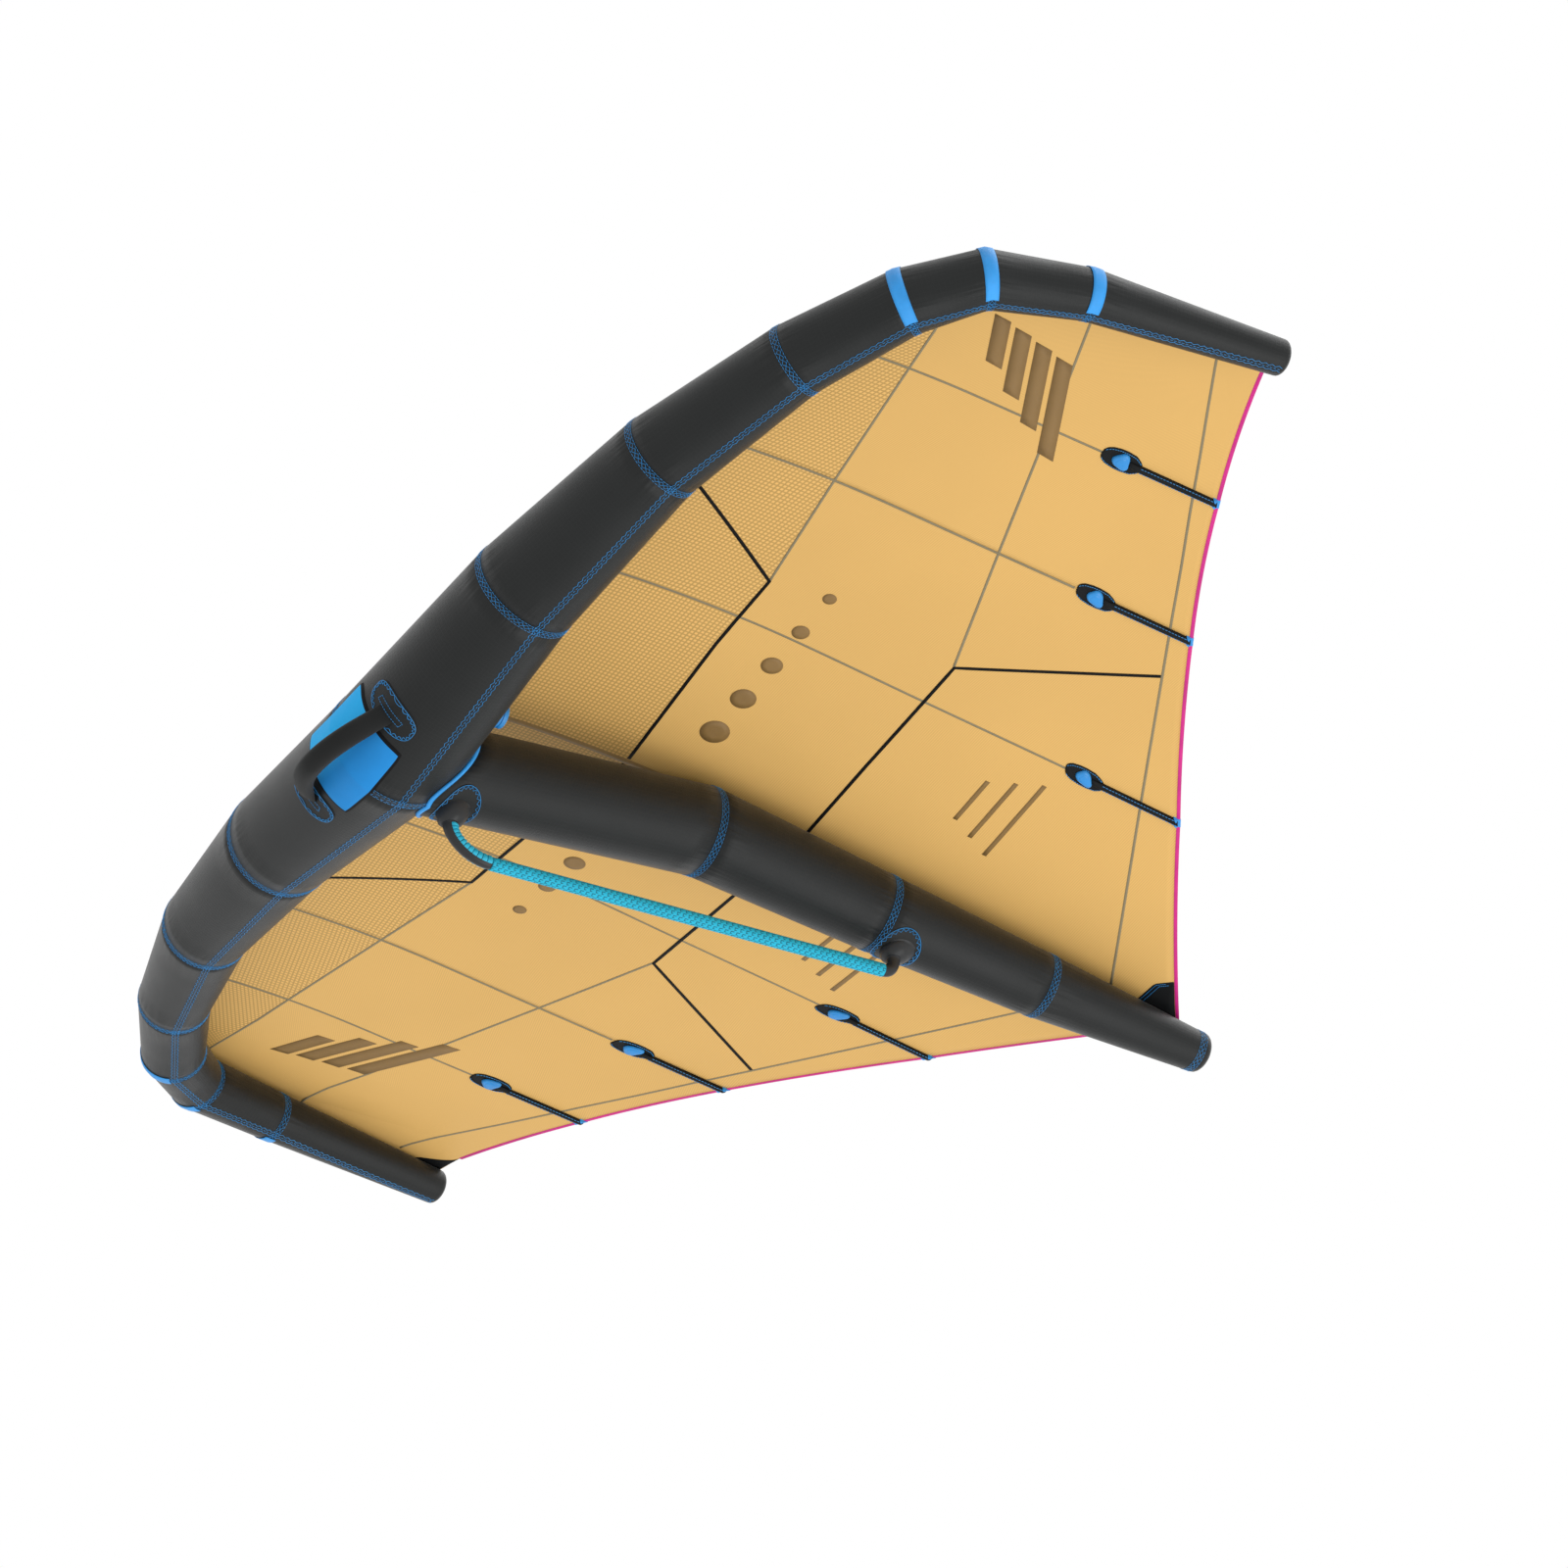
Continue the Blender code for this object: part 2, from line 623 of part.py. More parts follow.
def centre_camber():
    """The least camber in the middle plane that keeps the cloth over the strut."""
    start = le_point(0.0, LEAVING_DEG[0], CANOPY_LIFT)
    end = TE_POINTS[0]
    needed = []
    for centre in STRUT_CENTRES[1:STRUT_END]:
        share = (centre.y - start.y) / (end.y - start.y)
        top = strut_surface_z(centre.y, 1) + CANOPY_CLEARANCE
        base = start.z + (end.z - start.z) * share
        needed.append((top - base) / profile_height(share))
    return max(needed)


CAMBERS = (centre_camber(), CAMBER_AT_SEAM_1, CAMBER_AT_SEAM_2, CAMBER_AT_SEAM_3, CAMBER_AT_SEAM_4,
           CAMBER_AT_SEAM_5, CAMBER_AT_SEAM_6, 0.0)


def canopy_point(le_place, te_place, share, side=1):
    """A point on the cloth's underside, share of the way from the tube to the trailing edge."""
    start = le_point(le_place, between(LEAVING_DEG, le_place), CANOPY_LIFT, side)
    point = start.lerp(te_point(te_place, side), share)
    return point + UP * between(CAMBERS, le_place) * profile_height(share)


def te_place_for(le_place):
    """The place on the trailing edge of the rib that starts at a place on the tube."""
    for (le0, te0), (le1, te1) in zip(RIBS, RIBS[1:]):
        if le_place <= le1:
            return te0 + (te1 - te0) * (le_place - le0) / (le1 - le0)
    return RIBS[-1][1]


def canopy_rows(places, side):
    return [[canopy_point(place, te_place_for(place), share, side) for share in CHORD_SHARES]
            for place in places]


def make_canopy():
    """Three panels of cloth: the middle one crosses the strut, an outer one on each side."""
    half_gap = GAP / 2 / LE_CENTRES[1].x
    middle = [rib[0] for rib in RIBS[:INNER_RIBS]]
    middle[-1] -= half_gap
    outer = [rib[0] for rib in RIBS[INNER_RIBS - 1:]]
    outer[0] += half_gap
    panels = {"canopy_middle": canopy_rows(middle[:0:-1], -1) + canopy_rows(middle, 1),
              "canopy_right": canopy_rows(outer, 1), "canopy_left": canopy_rows(outer, -1)}
    for name, rows in panels.items():
        thicken(add_part(name, sheet(name, rows, UP), "canopy_cloth"), CANOPY_THICKNESS)


def make_binding():
    """The tape along the trailing edge, a flat bar just behind the cloth."""
    for side, word in ((1, "right"), (-1, "left")):
        loops = []
        for le_place, te_place in RIBS:
            inner = max(le_place, GAP / 2 / LE_CENTRES[1].x)
            edge = canopy_point(inner, te_place_for(inner), 1.0, side)
            front = edge + Vector((0.0, GAP, CANOPY_THICKNESS / 2 - BINDING_THICKNESS / 2))
            back = front + Vector((0.0, BINDING_WIDTH, 0.0))
            rise = UP * BINDING_THICKNESS
            loops.append([front, back, back + rise, front + rise])
        name = f"te_binding_{word}"
        add_part(name, loft(name, loops), "edge_binding")


# Battens and their pockets

def rib_length(seam):
    start = canopy_point(seam, seam, 0.0)
    return (canopy_point(seam, seam, 1.0) - start).length


def under_cloth(seam, from_front, depth, offset, side):
    """A point under the cloth along a batten: from_front in metres from the front of its pocket."""
    share = 1.0 - (POCKET_LENGTH - from_front) / rib_length(seam)
    on_rib = canopy_point(seam, seam, share, side)
    step = 0.5 if offset > 0 else -0.5
    beside = canopy_point(seam + step, te_place_for(seam + step), share, side)
    across = (beside - on_rib).normalized() * abs(offset)
    return on_rib + across - UP * depth


def bar_loop(seam, from_front, half_width, top, bottom, side):
    """A box section under the cloth."""
    return [under_cloth(seam, from_front, top, -half_width, side),
            under_cloth(seam, from_front, top, half_width, side),
            under_cloth(seam, from_front, bottom, half_width, side),
            under_cloth(seam, from_front, bottom, -half_width, side)]


ROD_TOP = GAP + PATCH_THICKNESS + BATTEN_CLEARANCE
ROD_BOTTOM = ROD_TOP + BATTEN_THICKNESS
SLEEVE_BOTTOM = ROD_BOTTOM + BATTEN_CLEARANCE + PATCH_THICKNESS
SAG = 0.0006                 # the cloth's bow between two ribs, left clear over a pocket


def make_batten(seam, side, word):
    top = SAG + GAP
    name = f"batten_pocket_{word}_{seam}"
    loops = []
    for along, half in PATCH_OUTLINE_SHARES:
        loops.append(bar_loop(seam, along * PATCH_LENGTH, half * PATCH_WIDTH, top, top + PATCH_THICKNESS, side))
    step = GAP
    for from_front in (PATCH_LENGTH + step, (PATCH_LENGTH + POCKET_LENGTH) / 2, POCKET_LENGTH - step):
        loops.append(bar_loop(seam, from_front, SLEEVE_WIDTH / 2, top, SAG + SLEEVE_BOTTOM, side))
    pocket = add_part(name, loft(name, loops), "reinforcement")
    bore = []
    for from_front in (PATCH_LENGTH - CUT_OVERRUN / 2, (PATCH_LENGTH + POCKET_LENGTH) / 2,
                       POCKET_LENGTH + CUT_OVERRUN):
        bore.append(bar_loop(seam, from_front, BATTEN_WIDTH / 2 + BATTEN_CLEARANCE, top + PATCH_THICKNESS,
                             SAG + ROD_BOTTOM + BATTEN_CLEARANCE, side))
    boolean(pocket, "DIFFERENCE", add_cutter(name + "_bore", loft(name + "_bore", bore)))
    name = f"batten_{word}_{seam}"
    loops = []
    for along, half in HEAD_OUTLINE_SHARES:
        loops.append(bar_loop(seam, HEAD_FROM_FRONT + along * HEAD_LENGTH, half * HEAD_WIDTH,
                              SAG + ROD_TOP, SAG + ROD_BOTTOM, side))
    for from_front in (HEAD_FROM_FRONT + HEAD_LENGTH + step, (PATCH_LENGTH + POCKET_LENGTH) / 2,
                       POCKET_LENGTH - PATCH_THICKNESS):
        loops.append(bar_loop(seam, from_front, BATTEN_WIDTH / 2, SAG + ROD_TOP, SAG + ROD_BOTTOM, side))
    add_part(name, loft(name, loops), "batten_blue")


# Pad, handle and patches on the front of the tube

def make_pad():
    xs = (-PAD_HALF_WIDTH, -PAD_HALF_WIDTH / 2, 0.0, PAD_HALF_WIDTH / 2, PAD_HALF_WIDTH)
    angles = angles_between(PAD_FROM_DEG, PAD_TO_DEG)
    rows = [[le_point(le_place_at(abs(x)), angle, GAP, 1 if x >= 0 else -1) for angle in angles] for x in xs]
    middle = angles[len(angles) // 2]
    outward = le_point(0.0, middle, LE_WALL) - le_point(0.0, middle)
    pad = add_part("front_pad", sheet("front_pad", rows, outward), "foam_pad")
    thicken(pad, PAD_THICKNESS)


def handle_end(side=1):
    """Centre of the handle's end, and the line that it swings about."""
    clear = GAP + HANDLE_PATCH_THICKNESS + HANDLE_CLEARANCE + HANDLE_END_DIAMETER / 2
    return le_point(le_place_at(HANDLE_HALF_LENGTH), HANDLE_DEG, clear, side)


def make_handle_patches():
    half_span = HANDLE_PATCH_SPAN_DEG / 2
    first, last = HANDLE_DEG - half_span, HANDLE_DEG + half_span
    outward = le_point(0.0, HANDLE_DEG, LE_WALL) - le_point(0.0, HANDLE_DEG)
    for side, word in ((1, "right"), (-1, "left")):
        rows = []
        for angle in angles_between(first, last):
            off_middle = abs(angle - HANDLE_DEG) / half_span
            half = HANDLE_PATCH_WIDTH / 2 * math.sqrt(max(1.0 - off_middle**4, 0.10))
            rows.append([le_point(le_place_at(PATCH_X + k * half), angle, GAP, side) for k in (-1, 0, 1)])
        name = f"handle_patch_{word}"
        patch = add_part(name, sheet(name, rows, outward), "tube_cloth")
        thicken(patch, HANDLE_PATCH_THICKNESS)
        boolean(patch, "UNION", add_cutter(name + "_tab", tab_mesh(name + "_tab", side)))


def tab_mesh(name, side):
    """The sewn-down end of the handle: a wedge, highest where the handle meets it."""
    root = HANDLE_HALF_LENGTH + GAP
    base = GAP + HANDLE_PATCH_THICKNESS / 2
    span = math.degrees(TAB_WIDTH / 2 / LE_RADII[0])
    loops = []
    for x, height in ((root, TAB_HEIGHT), (root + TAB_LENGTH, TAB_TOE)):
        place = le_place_at(x)
        top = GAP + HANDLE_PATCH_THICKNESS + height
        loops.append([le_point(place, HANDLE_DEG - span, base, side), le_point(place, HANDLE_DEG, base, side),
                      le_point(place, HANDLE_DEG + span, base, side),
                      le_point(place, HANDLE_DEG + span * 0.75, top, side),
                      le_point(place, HANDLE_DEG - span * 0.75, top, side)])
    return loft(name, loops)


def make_handle():
    """The padded handle, on an empty that lies on the line it swings about."""
    end = handle_end()
    hinge = bpy.data.objects.new("handle_hinge", None)
    PARTS.objects.link(hinge)
    hinge.parent = DATUM
    hinge.location = (0.0, end.y, end.z)
    crown = le_point(0.0, HANDLE_DEG, HANDLE_STANDOFF)
    curve = bpy.data.curves.new("le_handle", "CURVE")
    curve.dimensions = "3D"
    curve.resolution_u = 8
    curve.bevel_depth = HANDLE_DIAMETER / 2
    curve.bevel_resolution = 4
    curve.use_fill_caps = True
    spline = curve.splines.new("BEZIER")
    spline.bezier_points.add(2)
    end_share = HANDLE_END_DIAMETER / HANDLE_DIAMETER
    root_x = end.x - HANDLE_CLEARANCE
    places = ((-root_x, end, HANDLE_ROOT_REACH, end_share),
              (0.0, crown, HANDLE_CROWN_REACH, 1.0),
              (root_x, end, HANDLE_ROOT_REACH, end_share))
    for point, (x, centre, reach, radius) in zip(spline.bezier_points, places):
        point.co = Vector((x, centre.y, centre.z)) - hinge.location
        point.handle_left_type = "FREE"
        point.handle_right_type = "FREE"
        point.handle_left = point.co - ACROSS * reach
        point.handle_right = point.co + ACROSS * reach
        point.radius = radius
    handle = add_part("le_handle", curve, "handle_foam")
    handle.parent = hinge


# Boom and its mounts

def grip_ends():
    front = Vector((0.0, GRIP_FRONT_Y, strut_surface_z(GRIP_FRONT_Y, -1) - GRIP_FRONT_DROP))
    rear = Vector((0.0, GRIP_REAR_Y, strut_surface_z(GRIP_REAR_Y, -1) - GRIP_REAR_DROP))
    return front, rear


def pipe_loop(centre, along, radius, sides):
    up = ACROSS.cross(along)
    loop = []
    for k in range(sides):
        angle = math.radians(360.0 * k / sides)
        loop.append(centre + (up * math.cos(angle) + ACROSS * math.sin(angle)) * radius)
    return loop


def pipe(name, start, end, outer, inner, sides=24):
    """A straight pipe between two points in the middle plane."""
    along = (end - start).normalized()
    loops = [pipe_loop(start, along, outer, sides), pipe_loop(end, along, outer, sides),
             pipe_loop(end, along, inner, sides), pipe_loop(start, along, inner, sides)]
    return loft(name, loops, cyclic=True)


def make_elbow(name, boom, mouth, end, direction, reach, run):
    """A moulded elbow from a mount's mouth to the grip's end, with a peg and a spigot as one piece."""
    start = end - direction * GAP
    path = list(bezier(mouth, mouth - UP * reach, start - direction * run, start, ELBOW_STEPS))
    bore = BOOM_TUBE_DIAMETER / 2 - BOOM_TUBE_WALL
    rings = [(mouth + UP * PEG_LENGTH, -UP, PEG_DIAMETER / 2), (mouth, -UP, PEG_DIAMETER / 2),
             (mouth, -UP, ELBOW_DIAMETER / 2)]
    for before, point, after in zip(path, path[1:], path[2:]):
        rings.append((point, (after - before).normalized(), ELBOW_DIAMETER / 2))
    rings += [(start, direction, ELBOW_DIAMETER / 2), (start, direction, bore - GAP),
              (start + direction * SPIGOT_LENGTH, direction, bore - GAP)]
    loops = [pipe_loop(centre - boom.location, along, radius, ELBOW_SIDES) for centre, along, radius in rings]
    add_part(name, loft(name, loops), "boom_plastic").parent = boom


def make_boom():
    front, rear = grip_ends()
    along = (rear - front).normalized()
    boom = bpy.data.objects.new("boom_slide", None)
    PARTS.objects.link(boom)
    boom.parent = DATUM
    boom.location = (front + rear) / 2
    bore = BOOM_TUBE_DIAMETER / 2 - BOOM_TUBE_WALL
    tube = pipe("boom_tube", front - boom.location, rear - boom.location, BOOM_TUBE_DIAMETER / 2, bore)
    add_part("boom_tube", tube, "boom_tube_alloy").parent = boom
    grip = pipe("boom_grip", front - boom.location, rear - boom.location, GRIP_DIAMETER / 2,
                BOOM_TUBE_DIAMETER / 2 + GAP)
    add_part("boom_grip", grip, "grip_foam").parent = boom
    for name, end, direction, mount_y, height, reach, run in (
            ("boom_elbow_front", front, along, MOUNT_FRONT_Y, FRONT_DOME_HEIGHT, FRONT_ELBOW_REACH,
             FRONT_ELBOW_RUN),
            ("boom_elbow_rear", rear, -along, MOUNT_REAR_Y, REAR_DOME_HEIGHT, REAR_ELBOW_REACH,
             REAR_ELBOW_RUN)):
        mouth = Vector((0.0, mount_y, strut_surface_z(mount_y, -1) - height - GAP))
        make_elbow(name, boom, mouth, end, direction, reach, run)


def make_mounts(strut_cutter, welt_cutter):
    """A domed socket on a round patch, seated on the strut's underside, for each end of the boom."""
    for name, y, height in (("boom_mount_front", MOUNT_FRONT_Y, FRONT_DOME_HEIGHT),
                            ("boom_mount_rear", MOUNT_REAR_Y, REAR_DOME_HEIGHT)):
        under = strut_surface_z(y, -1)
        mouth = MOUNT_MOUTH_DIAMETER / 2
        spread = MOUNT_DOME_DIAMETER / 2 - mouth
        profile = [(mouth + spread * wide, -height * tall) for wide, tall in reversed(DOME_SHARES)]
        profile.append((MOUNT_DOME_DIAMETER / 2, CUT_OVERRUN))
        mount = turned(name, profile, "boom_plastic")
        mount.location = (0.0, y, under)
        disc = turned(name + "_flange", [
            (MOUNT_FLANGE_DIAMETER / 2, -CUT_OVERRUN), (MOUNT_FLANGE_DIAMETER / 2, CUT_OVERRUN)])
        disc.location = mount.location
        boolean(disc, "INTERSECT", strut_solid(name + "_flange_skin", GAP + MOUNT_FLANGE_THICKNESS))
        boolean(mount, "UNION", disc)
        boolean(mount, "DIFFERENCE", strut_cutter)
        radius = PEG_DIAMETER / 2 + SLIDING_CLEARANCE
        bore = turned(name + "_bore", [
            (radius, -height - CUT_OVERRUN), (radius, -height + SOCKET_DEPTH)])
        bore.location = mount.location
        boolean(mount, "DIFFERENCE", bore)
        if y == MOUNT_FRONT_Y:
            boolean(mount, "DIFFERENCE", welt_cutter)


# Valve, its cap and the feed hose

def turn_to_back(piece, centre):
    """Lays a turned piece along +Y at a centre."""
    piece.location = centre
    piece.rotation_euler = (math.radians(-90.0), 0.0, 0.0)


def make_valve(le_cutter, panel, bladder):
    surface = le_point(le_place_at(VALVE_X), 90.0)
    stem = VALVE_STEM_DIAMETER / 2
    base = turned("valve_base", [
        (VALVE_FLANGE_DIAMETER / 2, -VALVE_HEIGHT), (VALVE_FLANGE_DIAMETER / 2, VALVE_HEIGHT / 2),
        (CAP_DIAMETER / 2, VALVE_HEIGHT)], "valve_plastic")
    turn_to_back(base, surface)
    for holed in (panel, bladder):
        hole = turned("valve_hole_" + holed.name, [
            (stem + GAP, -VALVE_STEM_DEPTH - CUT_OVERRUN), (stem + GAP, CUT_OVERRUN)])
        turn_to_back(hole, surface)
        boolean(holed, "DIFFERENCE", hole)
    boolean(base, "DIFFERENCE", le_cutter)
    neck = turned("valve_stem", [(stem, -VALVE_STEM_DEPTH), (stem, VALVE_HEIGHT / 2)])
    turn_to_back(neck, surface)
    boolean(base, "UNION", neck)
    bore = turned("valve_bore", [
        (VALVE_BORE_DIAMETER / 2, -VALVE_STEM_DEPTH - CUT_OVERRUN),
        (VALVE_BORE_DIAMETER / 2, VALVE_HEIGHT + CUT_OVERRUN)])
    turn_to_back(bore, surface)
    boolean(base, "DIFFERENCE", bore)

    hinge = bpy.data.objects.new("valve_hinge", None)
    PARTS.objects.link(hinge)
    hinge.parent = DATUM
    hinge.location = surface + Vector((0.0, VALVE_HEIGHT + GAP, -CAP_DIAMETER / 2))
    cap = turned("valve_cap", [
        (CAP_DIAMETER / 2, 0.0), (CAP_DIAMETER / 2, CAP_THICKNESS - CAP_EDGE_ROUNDING),
        (CAP_DIAMETER / 2 - CAP_EDGE_ROUNDING, CAP_THICKNESS)], "valve_plastic")
    cap.parent = hinge
    turn_to_back(cap, UP * CAP_DIAMETER / 2)


def make_hose(panel, le_bladder, strut_bladder):
    """The hose that carries air from the tube's bladder to the strut's."""
    wall_y = le_point(le_place_at(HOSE_X), 90.0).y
    z = le_point(le_place_at(HOSE_X), 90.0).z
    start = -HOSE_INTO_LE
    end = STRUT_BLADDER_START + HOSE_INTO_STRUT
    outer, inner = HOSE_DIAMETER / 2, HOSE_BORE / 2
    hose = turned("feed_hose", [(outer, start), (outer, end)], "hose_plastic", HOSE_SIDES)
    turn_to_back(hose, (HOSE_X, wall_y, z))
    bore = turned("feed_hose_bore", [(inner, start - CUT_OVERRUN), (inner, end + CUT_OVERRUN)],
                  sides=HOSE_SIDES)
    turn_to_back(bore, (HOSE_X, wall_y, z))
    boolean(hose, "DIFFERENCE", bore)
    for holed, low, high in ((panel, start, CUT_OVERRUN), (le_bladder, start, CUT_OVERRUN),
                             (strut_bladder, 0.0, end)):
        name = "hose_hole_" + holed.name
        hole = turned(name, [(outer + GAP, low - GAP), (outer + GAP, high)], sides=HOSE_SIDES)
        turn_to_back(hole, (HOSE_X, wall_y, z))
        boolean(holed, "DIFFERENCE", hole)


# Assembly

def build():
    panels = make_le_panels()
    make_seam_bands()
    bladder = make_le_bladder()
    le_cutter = le_solid("le_cutter", GAP)
    strut_cutter = strut_solid("strut_cutter", GAP)
    welt_cutter = le_solid("welt_cutter", WELT_WIDTH + GAP)
    make_strut_panels(le_cutter)
    strut_bladder = make_strut_bladder()
    make_welt(le_cutter)
    make_canopy()
    make_binding()
    for side, word in ((1, "right"), (-1, "left")):
        for seam in (1, 2, 3):
            make_batten(seam, side, word)
    make_pad()
    make_handle_patches()
    make_handle()
    make_boom()
    make_mounts(strut_cutter, welt_cutter)
    make_valve(le_cutter, panels["le_panel_right_1"], bladder)
    make_hose(panels["le_panel_right_1"], bladder, strut_bladder)
    front, rear = grip_ends()
    DATUM.location = -(front + rear) / 2


build()
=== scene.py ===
# %% [markdown]
# # A wingfoil wing, dressed for its picture
#
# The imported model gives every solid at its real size. This lesson puts cloth, stitching, foam and plastic
# round it. Each piece takes its place from the same few numbers as the solids: rings along the two tubes,
# and ribs across the cloth. Lengths are in metres.

import math

import bmesh
import bpy
from mathutils import Matrix, Vector
from mathutils.bvhtree import BVHTree


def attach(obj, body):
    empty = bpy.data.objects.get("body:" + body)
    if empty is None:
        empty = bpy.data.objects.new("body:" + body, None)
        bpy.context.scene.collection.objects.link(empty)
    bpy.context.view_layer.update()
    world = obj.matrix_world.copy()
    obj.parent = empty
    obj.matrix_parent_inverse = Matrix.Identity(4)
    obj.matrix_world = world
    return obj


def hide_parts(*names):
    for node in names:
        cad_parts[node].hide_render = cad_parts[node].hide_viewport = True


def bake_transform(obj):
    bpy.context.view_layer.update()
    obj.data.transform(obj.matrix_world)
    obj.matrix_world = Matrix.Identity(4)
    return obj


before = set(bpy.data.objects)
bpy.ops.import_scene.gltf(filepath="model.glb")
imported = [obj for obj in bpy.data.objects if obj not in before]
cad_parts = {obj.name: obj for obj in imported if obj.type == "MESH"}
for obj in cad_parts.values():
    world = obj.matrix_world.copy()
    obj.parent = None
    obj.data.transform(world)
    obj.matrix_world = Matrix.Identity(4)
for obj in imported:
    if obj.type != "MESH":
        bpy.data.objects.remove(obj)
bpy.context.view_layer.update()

# %% [markdown]
# ## The shape in numbers
#
# The leading edge is a tube of seven straight panels a side, mitred at the seams, so two rings and a
# straight line between them give any point on it. The tables hold each ring's place as shares of the tip's,
# and its width as shares of the width at the middle. They could be read back from the solids, but a formula
# also gives the points between, which the stitching needs.

# %% Sizes of the tubes
TIP_X, TIP_Y, TIP_Z = 1.559, 1.025, 0.319
LE_DIAMETER = 0.265
LE_TIP_ROUNDING = 0.018
SEAM_X_SHARES = (0.0, 0.296, 0.551, 0.751, 0.883, 0.949, 0.977, 1.0)
SEAM_Y_SHARES = (0.0, 0.020, 0.079, 0.181, 0.293, 0.405, 0.602, 1.0)
SEAM_Z_SHARES = (0.0, 0.260, 0.498, 0.693, 0.834, 0.937, 1.0, 1.0)
LE_DIAMETER_SHARES = (1.0, 0.842, 0.675, 0.558, 0.494, 0.440, 0.389, 0.274)
STRUT_LENGTH = 1.869
STRUT_DIAMETER = 0.188
STRUT_ARCH = 0.0854
STRUT_END_ROUNDING = 0.022
STRUT_Y_SHARES = (0.0, 0.3765, 0.5965, 0.80, 1.0)
STRUT_Z_SHARES = (-0.30, 1.0, 0.562, 0.224, 0.0)
STRUT_DIAMETER_SHARES = (1.0, 0.973, 0.859, 0.707, 0.439)
UP = Vector((0.0, 0.0, 1.0))
ACROSS = Vector((1.0, 0.0, 0.0))
BACK = Vector((0.0, 1.0, 0.0))
SIDES = ((1, "right"), (-1, "left"))

LE_CENTRES = [Vector((TIP_X * x, TIP_Y * y, TIP_Z * z))
              for x, y, z in zip(SEAM_X_SHARES, SEAM_Y_SHARES, SEAM_Z_SHARES)]
LE_RADII = [LE_DIAMETER / 2 * share for share in LE_DIAMETER_SHARES]
TIP = len(LE_CENTRES) - 1
STRUT_CENTRES = [Vector((0.0, STRUT_LENGTH * y, STRUT_ARCH * z))
                 for y, z in zip(STRUT_Y_SHARES, STRUT_Z_SHARES)]
STRUT_RADII = [STRUT_DIAMETER / 2 * share for share in STRUT_DIAMETER_SHARES]
STRUT_END = len(STRUT_CENTRES) - 1
print("tube rings", TIP + 1, "strut rings", STRUT_END + 1)

# %% [markdown]
# A place on a tube is a number: 0 at its first ring, 1 at the next, and so on. Tables are read in the same
# way, so radii and centres need one helper.

# %% Reading tables and rings
def panel_at(table, place):
    return max(0, min(int(place), len(table) - 2))


def between(table, place):
    """A number or a point of an evenly spaced table, read between its entries."""
    low = panel_at(table, place)
    return table[low] + (table[low + 1] - table[low]) * (place - low)


def read_table(table, at):
    """A value from pairs of (place, value), read between them."""
    for (x0, y0), (x1, y1) in zip(table, table[1:]):
        if at <= x1:
            break
    return y0 + (y1 - y0) * (at - x0) / (x1 - x0)


def direction(centres, first):
    return (centres[first + 1] - centres[first]).normalized()


def panel_length(centres, first):
    return (centres[first + 1] - centres[first]).length


def past_ring(centres, ring, offset):
    """The place some metres past a ring, or before it if the offset is negative."""
    return ring + offset / panel_length(centres, ring if offset > 0 else ring - 1)


def round_point(centre, first, second, turn, radius):
    """A point round a centre, turned from the first direction towards the second."""
    return centre + (first * math.cos(turn) + second * math.sin(turn)) * radius


def powered(value, power):
    """A value's size raised to a power, with its sign kept."""
    return math.copysign(abs(value)**power, value)


def mirrored(point, side):
    return Vector((point.x * side, point.y, point.z))


print("radius halfway along the first panel %.3f m" % between(LE_RADII, 0.5))

# %% [markdown]
# A mitred ring isn't a circle: two tubes of one width that meet at an angle share an oval. The section is
# drawn in the plane that halves the angle, and stretched there by one over the cosine.

# %% Points on the leading edge
def le_axes(ring):
    """Up and cloth-side directions of a ring's section."""
    ahead = direction(LE_CENTRES, min(ring, TIP - 1))
    behind = direction(LE_CENTRES, ring - 1) if ring else Vector((ahead.x, -ahead.y, -ahead.z))
    along = (ahead + behind).normalized()
    up = (UP - along * UP.dot(along)).normalized()
    return up, up.cross(along) / along.dot(ahead)


LE_AXES = [le_axes(ring) for ring in range(TIP + 1)]


def le_point(place, degrees, lift=0.0, side=1):
    """Place in seams from the middle, angle from the tube's top (plus is the cloth's side), lift outwards."""
    low = panel_at(LE_CENTRES, place)
    first, second = (round_point(LE_CENTRES[ring], *LE_AXES[ring], math.radians(degrees), LE_RADII[ring] + lift)
                     for ring in (low, low + 1))
    return mirrored(first.lerp(second, place - low), side)


def le_place_at(x):
    """The place on the first panel at a distance from the middle plane."""
    return x / LE_CENTRES[1].x


print("tube width at the tip %.3f m" % (2 * LE_RADII[TIP]))

# %% Points on the strut
def strut_axes(low):
    """Up direction at both ends of a strut panel, stretched for the mitre."""
    made = []
    for ring in (low, low + 1):
        before = direction(STRUT_CENTRES, max(ring - 1, 0))
        after = direction(STRUT_CENTRES, min(ring, STRUT_END - 1))
        along = (before + after).normalized()
        made.append(ACROSS.cross(along) / along.dot(after))
    return made


STRUT_AXES = [strut_axes(low) for low in range(STRUT_END)]


def strut_point(place, degrees, lift=0.0):
    """Place in seams from the leading edge, angle from the strut's top, plus towards the right."""
    low = panel_at(STRUT_CENTRES, place)
    up = between(STRUT_AXES[low], place - low)
    return round_point(between(STRUT_CENTRES, place), up, ACROSS, math.radians(degrees),
                       between(STRUT_RADII, place) + lift)


def strut_place_at(y):
    for ring in range(STRUT_END):
        if y <= STRUT_CENTRES[ring + 1].y or ring == STRUT_END - 1:
            return ring + (y - STRUT_CENTRES[ring].y) / (STRUT_CENTRES[ring + 1].y - STRUT_CENTRES[ring].y)


